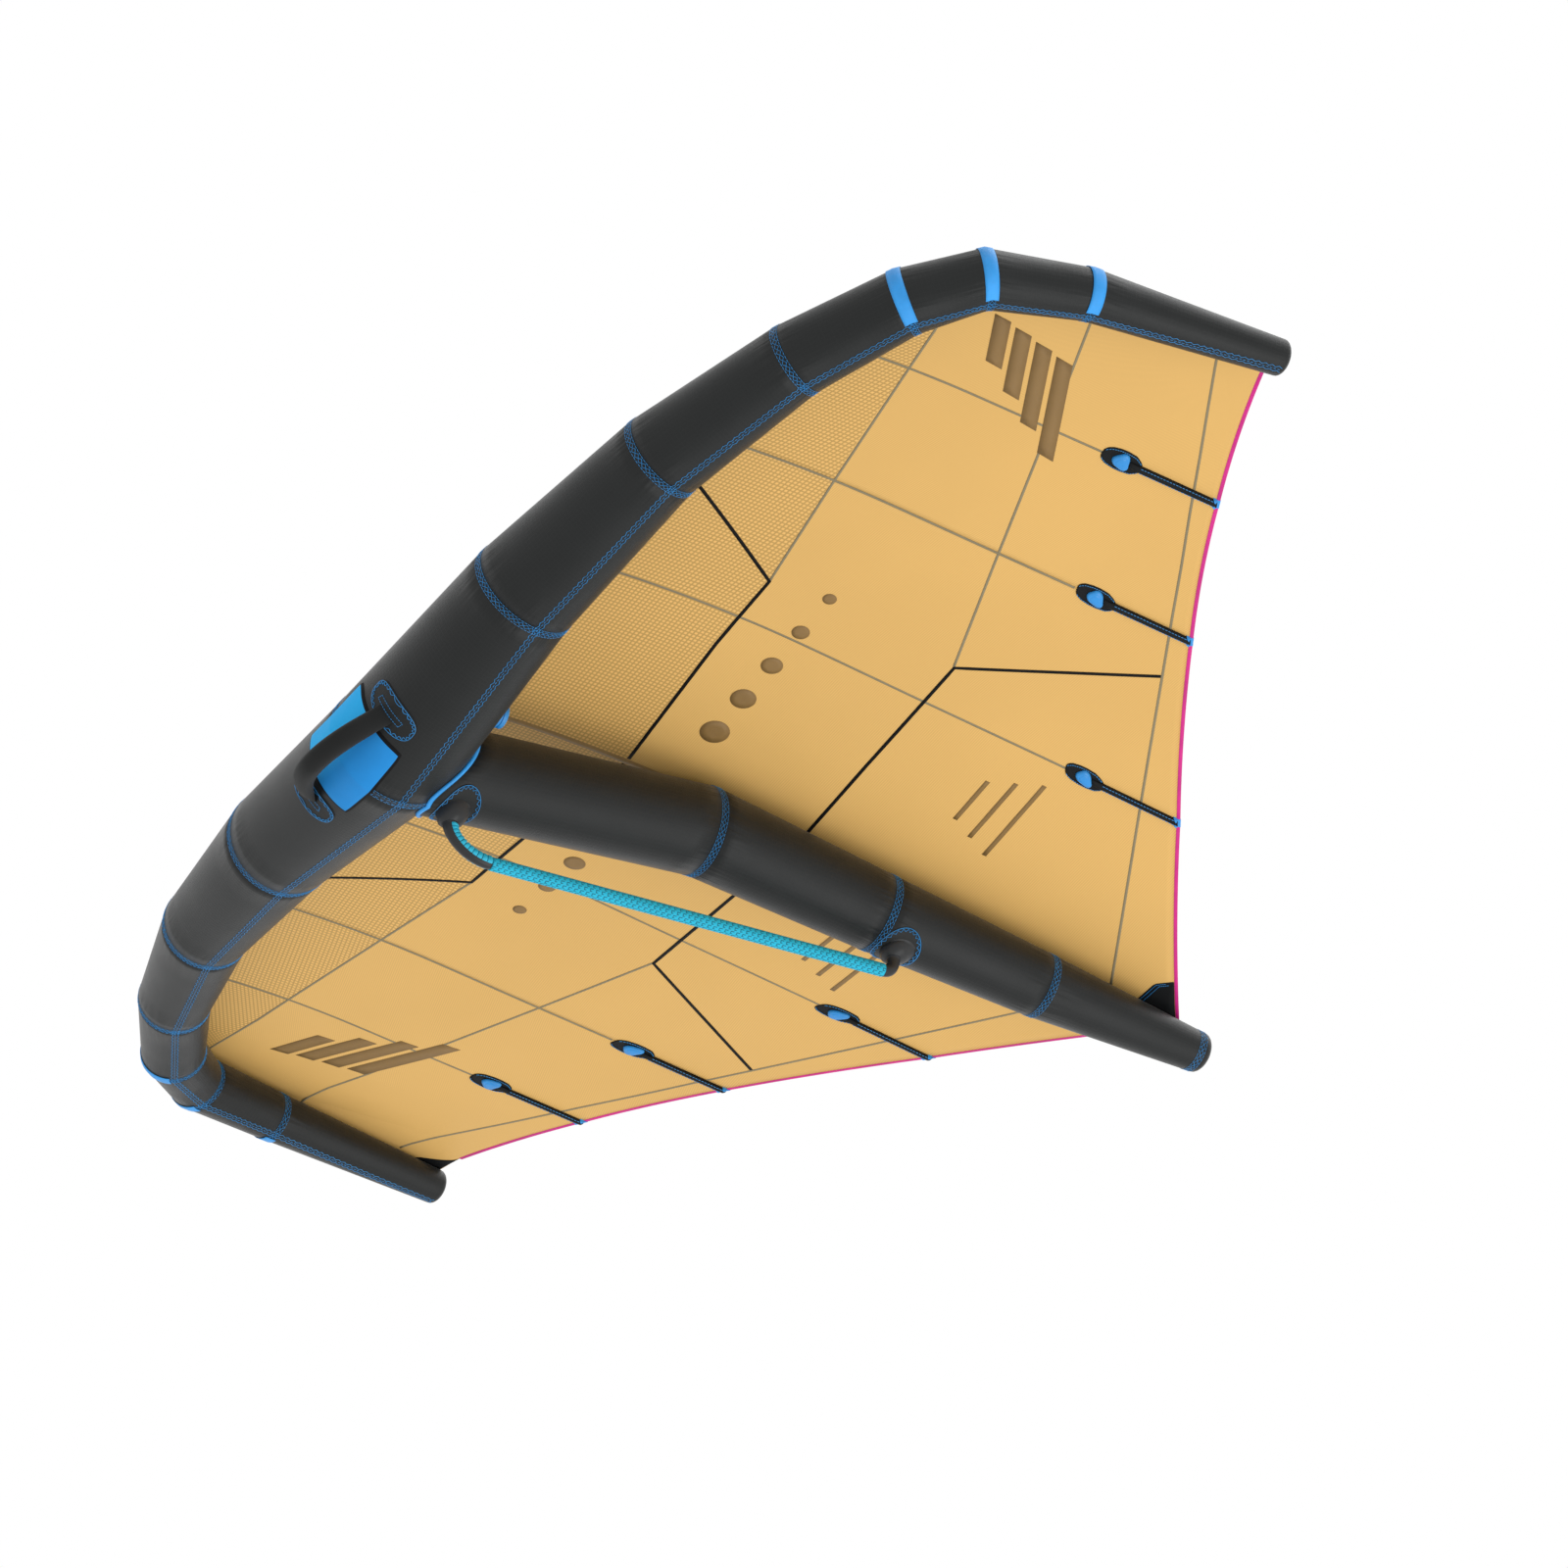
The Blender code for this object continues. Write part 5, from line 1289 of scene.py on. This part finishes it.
def patch_point(turn, reach, lift, side, inset=0.0):
    """A point of the patch: reach 0 to 1 from its centre, inset in metres from its rim."""
    x = powered(math.cos(turn), PATCH_POWER) * (PATCH_HALF_X - inset) * reach
    half_deg = PATCH_HALF_DEG - math.degrees(inset / LE_RADII[0])
    return le_point(le_place_at(PATCH_X + x), PATCH_DEG + powered(math.sin(turn), PATCH_POWER) * half_deg * reach,
                    lift, side)


for side, word in SIDES:
    def at(u, v):
        return patch_point(2 * math.pi * u, v, 0.0007 + 0.0016 * (1 - v**12)**0.5, side)

    bm = bmesh.new()
    weave(bm, 64, 16, at, lambda u, v: (v * 0.04 * math.cos(2 * math.pi * u), v * 0.06 * math.sin(2 * math.pi * u)))
    facing(bm, le_point(0.9, HANDLE_DEG, 0.1, side) - le_point(0.9, HANDLE_DEG, 0.0, side))
    piece(f"handle_patch_cloth_{word}", bm, finishes["tube_patch"],
          stands_for=[f"handle_patch_{word}"], thick=-0.0006)
    rows = [[patch_point(2 * math.pi * k / 120, 1.0, 0.0027, side, 0.0024) for k in range(121)]]
    for k in range(24):
        rows.append([patch_point(2 * math.pi * (k + part / 6) / 24, 1.0, 0.0027, side,
                                 0.0030 + 0.0056 * abs(math.cos(math.pi * part / 6))) for part in range(7)])
    for k, count in enumerate((3, 12, 3, 12)):
        (x0, d0), (x1, d1) = PATCH_BOX[k], PATCH_BOX[(k + 1) % 4]
        for j in range(count):
            rows.append([le_point(le_place_at(x0 + (x1 - x0) * t), d0 + (d1 - d0) * t, 0.0030, side)
                         for t in (j / count, (j + 0.62) / count)])
    stitches(f"handle_patch_stitches_{word}", rows, HANDLE_THREAD)
print("patches", 2)

# %% [markdown]
# The handle is a padded tube of neoprene that arches off the tube and is sewn down at both ends. It swings a
# little about its sewn ends, and it is made as two halves.

# %% Handle covers
HANDLE_TOE_X, HANDLE_CROWN, ROOT_X, ARCH_X = 0.1385, 0.0745, 0.136, 0.088
HANDLE_HALF_WIDTH, HANDLE_LEAN_DEG, CROWN_ROUND, HANDLE_POWER = 0.0218, 4.0, 0.02, 0.85
HALF_THICK = ((0.0, 0.0195), (0.30, 0.0192), (0.50, 0.0178), (0.65, 0.0155), (0.78, 0.0122), (0.88, 0.0085),
              (0.95, 0.0050), (1.0, 0.0014))


def handle_axis(t):
    """Distance from the middle and lift above the tube, t from the crown (0) to the sewn toe (1)."""
    a, b, c, d = (1 - t)**3, 3 * t * (1 - t)**2, 3 * t * t * (1 - t), t**3
    return (b * 0.064 + c * 0.110 + d * HANDLE_TOE_X,
            (a + b) * HANDLE_CROWN + c * 0.030 + d * 0.0034)


def handle_point(u, v, side):
    x, lift = handle_axis(v)
    x0, lift0 = handle_axis(max(v - 0.01, 0.0))
    x1, lift1 = handle_axis(min(v + 0.01, 1.0))
    length = math.hypot(x1 - x0, lift1 - lift0)
    turn = 2 * math.pi * u
    aside = HANDLE_HALF_WIDTH * powered(math.cos(turn), HANDLE_POWER)
    thick = read_table(HALF_THICK, v) * powered(math.sin(turn), HANDLE_POWER)
    x -= (lift1 - lift0) / length * thick
    lift = max(lift + (x1 - x0) / length * thick, 0.0026)
    bent = abs(x) + CROWN_ROUND * math.exp(-abs(x) / CROWN_ROUND)
    place = le_place_at(bent)
    lean = HANDLE_LEAN_DEG * min(1.0, max(0.0, lift1) / HANDLE_CROWN)
    degrees = HANDLE_DEG + lean + math.degrees(aside / (between(LE_RADII, place) + lift))
    point = le_point(place, degrees, lift, side)
    point.x *= abs(x) / bent
    return point


for side, word in SIDES:
    bm = bmesh.new()
    weave(bm, 40, 64, lambda u, v: handle_point(u, v, side), lambda u, v: (u * 0.13, v * 0.21))
    merged(bm, fill=True)
    cover = piece(f"handle_cover_{word}", bm, finishes["handle_cloth"], body=None,
                  stands_for=["le_handle"], smooth_deg=60)
    root, arch = (tuple(Vector((side * x, *handle_point(0.25, 0.9, side).yz)) + DATUM) for x in (ROOT_X, ARCH_X))
    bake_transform(cover)
print("handle stands %.0f mm off the tube" % (HANDLE_CROWN * 1000))

# %% [markdown]
# ## Boom
#
# The boom is an alloy tube with a foam grip, and a moulded elbow at each end that pegs into a domed mount. An
# elbow follows a Bezier curve from the mount's mouth to the grip, with a ring of vertices square to it.

# %% Elbows
MOUNT_FRONT_Y, MOUNT_REAR_Y = 0.132, 1.148
ELBOW_RADIUS, ELBOW_FLARE, ELBOW_STEPS, PLAY = 0.0125, 0.0026, 30, 0.0003
PEG = ((0.014, 0.0), (0.014, 0.0078), (0.0128, 0.0090), (0.0, 0.0090), (0.0, 0.0146), (-0.0010, 0.0154))
SLEEVE = ((-0.001, ELBOW_RADIUS), (0.0, ELBOW_RADIUS - 0.0008), (0.0, 0.0087), (0.04, 0.0087), (0.04, 0.0))
DOMES = {"front": (MOUNT_FRONT_Y, 0.032), "rear": (MOUNT_REAR_Y, 0.021)}


def bezier(a, b, c, d, t):
    return a * (1 - t)**3 + b * 3 * t * (1 - t)**2 + c * 3 * t * t * (1 - t) + d * t**3


def elbow_radius(step):
    return ELBOW_RADIUS + ELBOW_FLARE * math.exp(-step / 4.0)


along = (grip_rear - grip_front).normalized()
grip_length = (grip_rear - grip_front).length
paths = {}
for word, end, way, reach, run in (("front", grip_front, along, 0.030, 0.050),
                                   ("rear", grip_rear, -along, 0.018, 0.018)):
    y, height = DOMES[word]
    mouth = Vector((0.0, y, strut_height(y, -1) - height - PLAY))
    start = end - way * PLAY
    points = [bezier(mouth, mouth - UP * reach, start - way * run, start, k / ELBOW_STEPS)
              for k in range(ELBOW_STEPS + 1)]
    paths[word] = points
    rings = [(mouth + UP * rise, -UP, radius) for rise, radius in PEG]
    rings += [(points[k], (points[k + 1] - points[k - 1]).normalized(), elbow_radius(k))
              for k in range(1, ELBOW_STEPS)]
    rings += [(start + way * at, way, radius) for at, radius in SLEEVE]
    bm = bmesh.new()
    ringed(bm, 40, rings)
    merged(bm)
    piece(f"boom_elbow_shell_{word}", bm, finishes["boom_plastic"], "boom",
          [f"boom_elbow_{word}"], smooth_deg=50)
print("boom is %.3f m between the elbows" % grip_length)

# %% [markdown]
# The grip is closed: its rings run from the bore over the outside and back to the bore. Its tail is a row of
# raised blocks round the front elbow, each one carried along a closed outline.

# %% Grip, and its tail on the front elbow
GRIP_RADIUS, GRIP_BORE, LIP, GRIP_STEPS = 0.01375, 0.0113, 0.0016, 40
TAIL, TAIL_FROM, BLOCK_SHARE = 12, 1.3, 0.88
BLOCK = ((0.0, 0.0), (0.0, 0.0019), (0.12, 0.0028), (0.5, 0.0031), (0.88, 0.0028), (1.0, 0.0019), (1.0, 0.0),
         (0.5, -0.0006), (0.0, 0.0))
end_rings = ((0.0, GRIP_BORE), (0.0, GRIP_RADIUS - LIP), (LIP * 0.3, GRIP_RADIUS - LIP * 0.3), (LIP, GRIP_RADIUS))
profile = list(end_rings)
profile += [(LIP + (grip_length - 2 * LIP) * k / GRIP_STEPS, GRIP_RADIUS) for k in range(1, GRIP_STEPS)]
profile += [(grip_length - at, radius) for at, radius in reversed(end_rings)] + [end_rings[0]]
last = len(profile) - 1
bm = bmesh.new()
ringed(bm, 64, [(grip_front + along * at, along, radius) for at, radius in profile],
       lambda u, v: (u * SCALE_WIDTH * 10, v * grip_length * last / (last - 1)))
merged(bm)
piece("boom_grip_foam", bm, finishes["grip_foam"], "boom", ["boom_grip"], smooth_deg=50)


def block_at(u, v):
    """u goes round the block's outline along the elbow, v round the elbow."""
    share, out = BLOCK[int(round(u * (len(BLOCK) - 1)))]
    ends = min(1.0, 12 * v, 12 * (1 - v))
    step = first + pitch * BLOCK_SHARE * share
    low = panel_at(points, step)
    ahead = (points[low + 1] - points[max(low - 1, 0)]).normalized()
    return round_point(between(points, step), ACROSS.cross(ahead), ACROSS, half * (2 * v - 1),
                       elbow_radius(step) + out * ends - 0.0002 * (1 - ends))


points, pitch = paths["front"], (ELBOW_STEPS - TAIL_FROM) / TAIL
bm = bmesh.new()
for k in range(TAIL):
    first, half = TAIL_FROM + k * pitch, math.radians(108 + 22 * k / TAIL)
    weave(bm, len(BLOCK) - 1, 28, block_at, lambda u, v: (u * 0.02, v * 0.05))
merged(bm, fill=True)
piece("boom_grip_tail", bm, finishes["tail_foam"], "boom", smooth_deg=50)
print("grip %.3f m, tail of %d blocks" % (grip_length, TAIL))

# %% [markdown]
# Each mount is a low dome on a round patch. The patch follows the strut, and the dome's foot is let down onto
# it while its mouth stays round and level.

# %% Mounts under the strut
PATCH_REACH = {"front": (0.070, 0.0440, 0.0), "rear": (0.063, 0.0460, 0.012)}
DOME_LEAN = {"front": 0.008, "rear": 0.010}
DOME_FOOT = ((0.0, 0.0), (0.0, 0.0376), (0.05, 0.0374), (0.07, 0.0345))
DOME_SIDE = ((0.22, 0.0338), (0.42, 0.0318), (0.60, 0.0288), (0.76, 0.0250), (0.90, 0.0208), (1.0, 0.0172))
DOME_LIP = ((1.03, 0.0160), (1.0, 0.0110), (0.98, 0.0096))
SOCKET_DEPTH, SOCKET_RADIUS, LIP_RADIUS = 0.015, 0.0096, 0.0172


def strut_under(x, y, lift):
    place = strut_place_at(y)
    return strut_point(place, 180.0 - math.degrees(x / between(STRUT_RADII, place)), lift)


def patch_spot(turn, reach, lift, inset=0.0):
    around, ahead, behind = PATCH_REACH[word]
    return strut_under((around - inset) * reach * math.sin(turn),
                       y + behind + (ahead - inset) * reach * math.cos(turn), lift)


def dome_at(u, v):
    """tall is 0 at the strut and 1 at the mouth. The heights are let down onto the strut near the foot."""
    tall, radius = outline[int(round(v * (len(outline) - 1)))]
    turn = 2 * math.pi * u
    lean = DOME_LEAN[word] * max(0.0, 1.0 - tall)**0.8 if radius > LIP_RADIUS else 0.0
    if 0.1 < tall < 1.0 and radius > 0.012:
        radius += 0.0013 * math.exp(-((turn - 4.1) / 0.16)**2)
    x, along_strut = radius * math.sin(turn), y + radius * math.cos(turn) + lean
    foot = strut_under(x, along_strut, 0.0016).z
    level = strut_height(y, -1) - height * tall
    return Vector((x, along_strut, foot + (level - foot) * min(1.0, tall / 0.75)**0.8))


for word, (y, height) in DOMES.items():
    bm = bmesh.new()
    weave(bm, 64, 14, lambda u, v: patch_spot(2 * math.pi * u, v, 0.0006 + 0.0012 * (1 - v**14)**0.5),
          lambda u, v: (v * 0.044 * math.cos(2 * math.pi * u), v * 0.044 * math.sin(2 * math.pi * u)))
    facing(bm, -UP)
    piece(f"mount_patch_{word}", bm, finishes["tube_patch"], thick=-0.0005)
    floor_share = 1.0 - SOCKET_DEPTH / height
    outline = DOME_FOOT + DOME_SIDE + DOME_LIP + ((floor_share, SOCKET_RADIUS), (floor_share, 0.0))
    bm = bmesh.new()
    weave(bm, 56, len(outline) - 1, dome_at)
    merged(bm)
    piece(f"mount_dome_{word}", bm, finishes["boom_plastic"],
          stands_for=[f"boom_mount_{word}"], smooth_deg=50)
    rows = [[patch_spot(2 * math.pi * k / steps, 1.0, 0.0024, insets[k % len(insets)]) for k in range(steps + 1)]
            for steps, insets in ((96, (0.0018,)), (52, (0.0035, 0.0092)))]
    stitches(f"mount_stitches_{word}", rows)
print("mounts", len(DOMES))

# %% [markdown]
# ## Valve
#
# The valve is a stepped disc welded into the back of the tube, with a cap hinged at its lower edge. Both are
# turned from a profile of (radius, height) about the valve's axis, which points straight back.

# %% Valve base and cap
VALVE_X, VALVE_HEIGHT = 0.168, 0.009
SEAT = ((0.011, -0.020), (0.011, 0.0086), (0.0118, 0.0092), (0.0132, 0.0092), (0.0138, 0.0086),
        (0.0225, 0.0086), (0.0246, 0.0082), (0.0250, 0.0074), (0.0252, 0.0052), (0.0282, 0.0044),
        (0.0290, 0.0036), (0.0290, -0.0042), (0.0150, -0.0042), (0.0150, -0.020), (0.011, -0.020))
CAP = ((0.0, 0.0), (0.0244, 0.0), (0.0250, 0.0006), (0.0250, 0.0078), (0.0243, 0.0092), (0.0228, 0.0098),
       (0.0196, 0.0100), (0.0188, 0.0092), (0.0150, 0.0092), (0.0142, 0.0100), (0.0, 0.0100))
valve_centre = le_point(le_place_at(VALVE_X), 90.0)
for name, profile, lift, body, node in (
        ("valve_seat_moulding", SEAT, 0.0, "wing", "valve_base"),
        ("valve_cap_moulding", CAP, VALVE_HEIGHT + PLAY, "valve_cap", "valve_cap")):
    bm = bmesh.new()
    ringed(bm, 48, [(valve_centre + BACK * (lift + height), BACK, radius) for radius, height in profile])
    merged(bm)
    piece(name, bm, finishes["valve_plastic"], body, [node])
print("valve at", [round(v, 3) for v in valve_centre + DATUM])

# %% [markdown]
# ## Solids that stay
#
# The bladders, the hose and the alloy tube are right as they are, and are hidden inside. They only get their
# finish.

# %% Finishes for the kept solids
KEPT = {"le_bladder": "film", "strut_bladder": "film", "feed_hose": "hose", "boom_tube": "alloy"}
for name, finish in KEPT.items():
    for slot in bpy.data.objects[name].material_slots:
        slot.material = finishes[finish]
print("kept", sorted(KEPT))

# %% [markdown]
# ## Light, floor and camera
#
# The wing hangs in the air, so the floor is a wide pale disc far below. A white world gives the soft light of
# a studio, a large disc of light under the wing reaches the cloth's lower face, a smaller one at its side
# rounds the tubes, and a weak sun keeps the upper side from looking flat. Paths from the camera see plain
# white.

# %% Camera
camera = bpy.data.cameras.new("camera")
camera.lens = 273.97
camera.sensor_width = 36.0
camera.clip_end = 400.0
view = placed("camera", camera)
view.location = (15.6188, -9.7778, -14.1320)
view.rotation_euler = [math.radians(a) for a in (128.1238, 0.5377, 57.7860)]
bpy.context.scene.camera = view
print("lens %.1f mm" % camera.lens)

# %% World and lamps
WHITE, PLAIN_STRENGTH, SHOWN_STRENGTH = (1.0, 1.0, 1.0, 1.0), 0.66, 1.0


def white_for_camera(tree, strength_node, plain, shown):
    """Plain light for the object, and a shown strength for camera, glossy and transmission rays."""
    path = tree.nodes.new("ShaderNodeLightPath")
    seen = path.outputs["Is Camera Ray"]
    for ray in ("Is Glossy Ray", "Is Transmission Ray"):
        either = tree.nodes.new("ShaderNodeMath")
        either.operation = "MAXIMUM"
        tree.links.new(seen, either.inputs[0])
        tree.links.new(path.outputs[ray], either.inputs[1])
        seen = either.outputs[0]
    choose = tree.nodes.new("ShaderNodeMapRange")
    choose.inputs["To Min"].default_value = plain
    choose.inputs["To Max"].default_value = shown
    tree.links.new(seen, choose.inputs["Value"])
    tree.links.new(choose.outputs[0], strength_node.inputs["Strength"])


def lamp(name, kind, energy, towards, location=(0.0, 0.0, 0.0)):
    """A lamp that shines on the wing from a direction."""
    light = bpy.data.lights.new(name, kind)
    light.energy = energy
    holder = placed(name, light)
    holder.location = location
    holder.rotation_euler = Vector(towards).to_track_quat("Z", "Y").to_euler()
    return holder


world = bpy.data.worlds.new("studio")
world.use_nodes = True
background = world.node_tree.nodes["Background"]
background.inputs["Color"].default_value = WHITE
white_for_camera(world.node_tree, background, PLAIN_STRENGTH, SHOWN_STRENGTH)
bpy.context.scene.world = world
for name, size, energy, towards, location in (
        ("from_below", 9.0, 400.0, (4.0, 4.8, -11.2), (4.0, 5.0, -11.0)),
        ("from_side", 2.6, 170.0, (8.8, 5.8, -7.8), (8.8, 5.8, -7.8))):
    disk = lamp(name, "AREA", energy, towards, location)
    disk.data.shape, disk.data.size = "DISK", size
    disk.visible_camera = False
lamp("from_above", "SUN", 1.1, (0.25, 0.45, 0.87)).data.angle = math.radians(60.0)
print("lamps", 3)

# %% Floor
FLOOR_RADIUS, FLOOR_DEPTH = 70.0, 26.0
bm = bmesh.new()
bmesh.ops.create_circle(bm, cap_ends=True, segments=96, radius=FLOOR_RADIUS,
                        matrix=Matrix.Translation((0, 0, -FLOOR_DEPTH)))
mesh = bpy.data.meshes.new("floor")
bm.to_mesh(mesh)
bm.free()
floor = placed("floor", mesh)
paint = Finish("floor_paint", (0.92, 0.92, 0.92, 1.0), 0.9)
paint.feed(paint.shader.inputs["Base Color"],
           paint.mix(paint.noise(0.4), (0.91, 0.91, 0.91, 1.0), (0.93, 0.93, 0.93, 1.0)))
mesh.materials.append(paint.material)
bpy.context.scene.view_settings.view_transform = "Standard"
print("floor %.0f m below" % FLOOR_DEPTH)
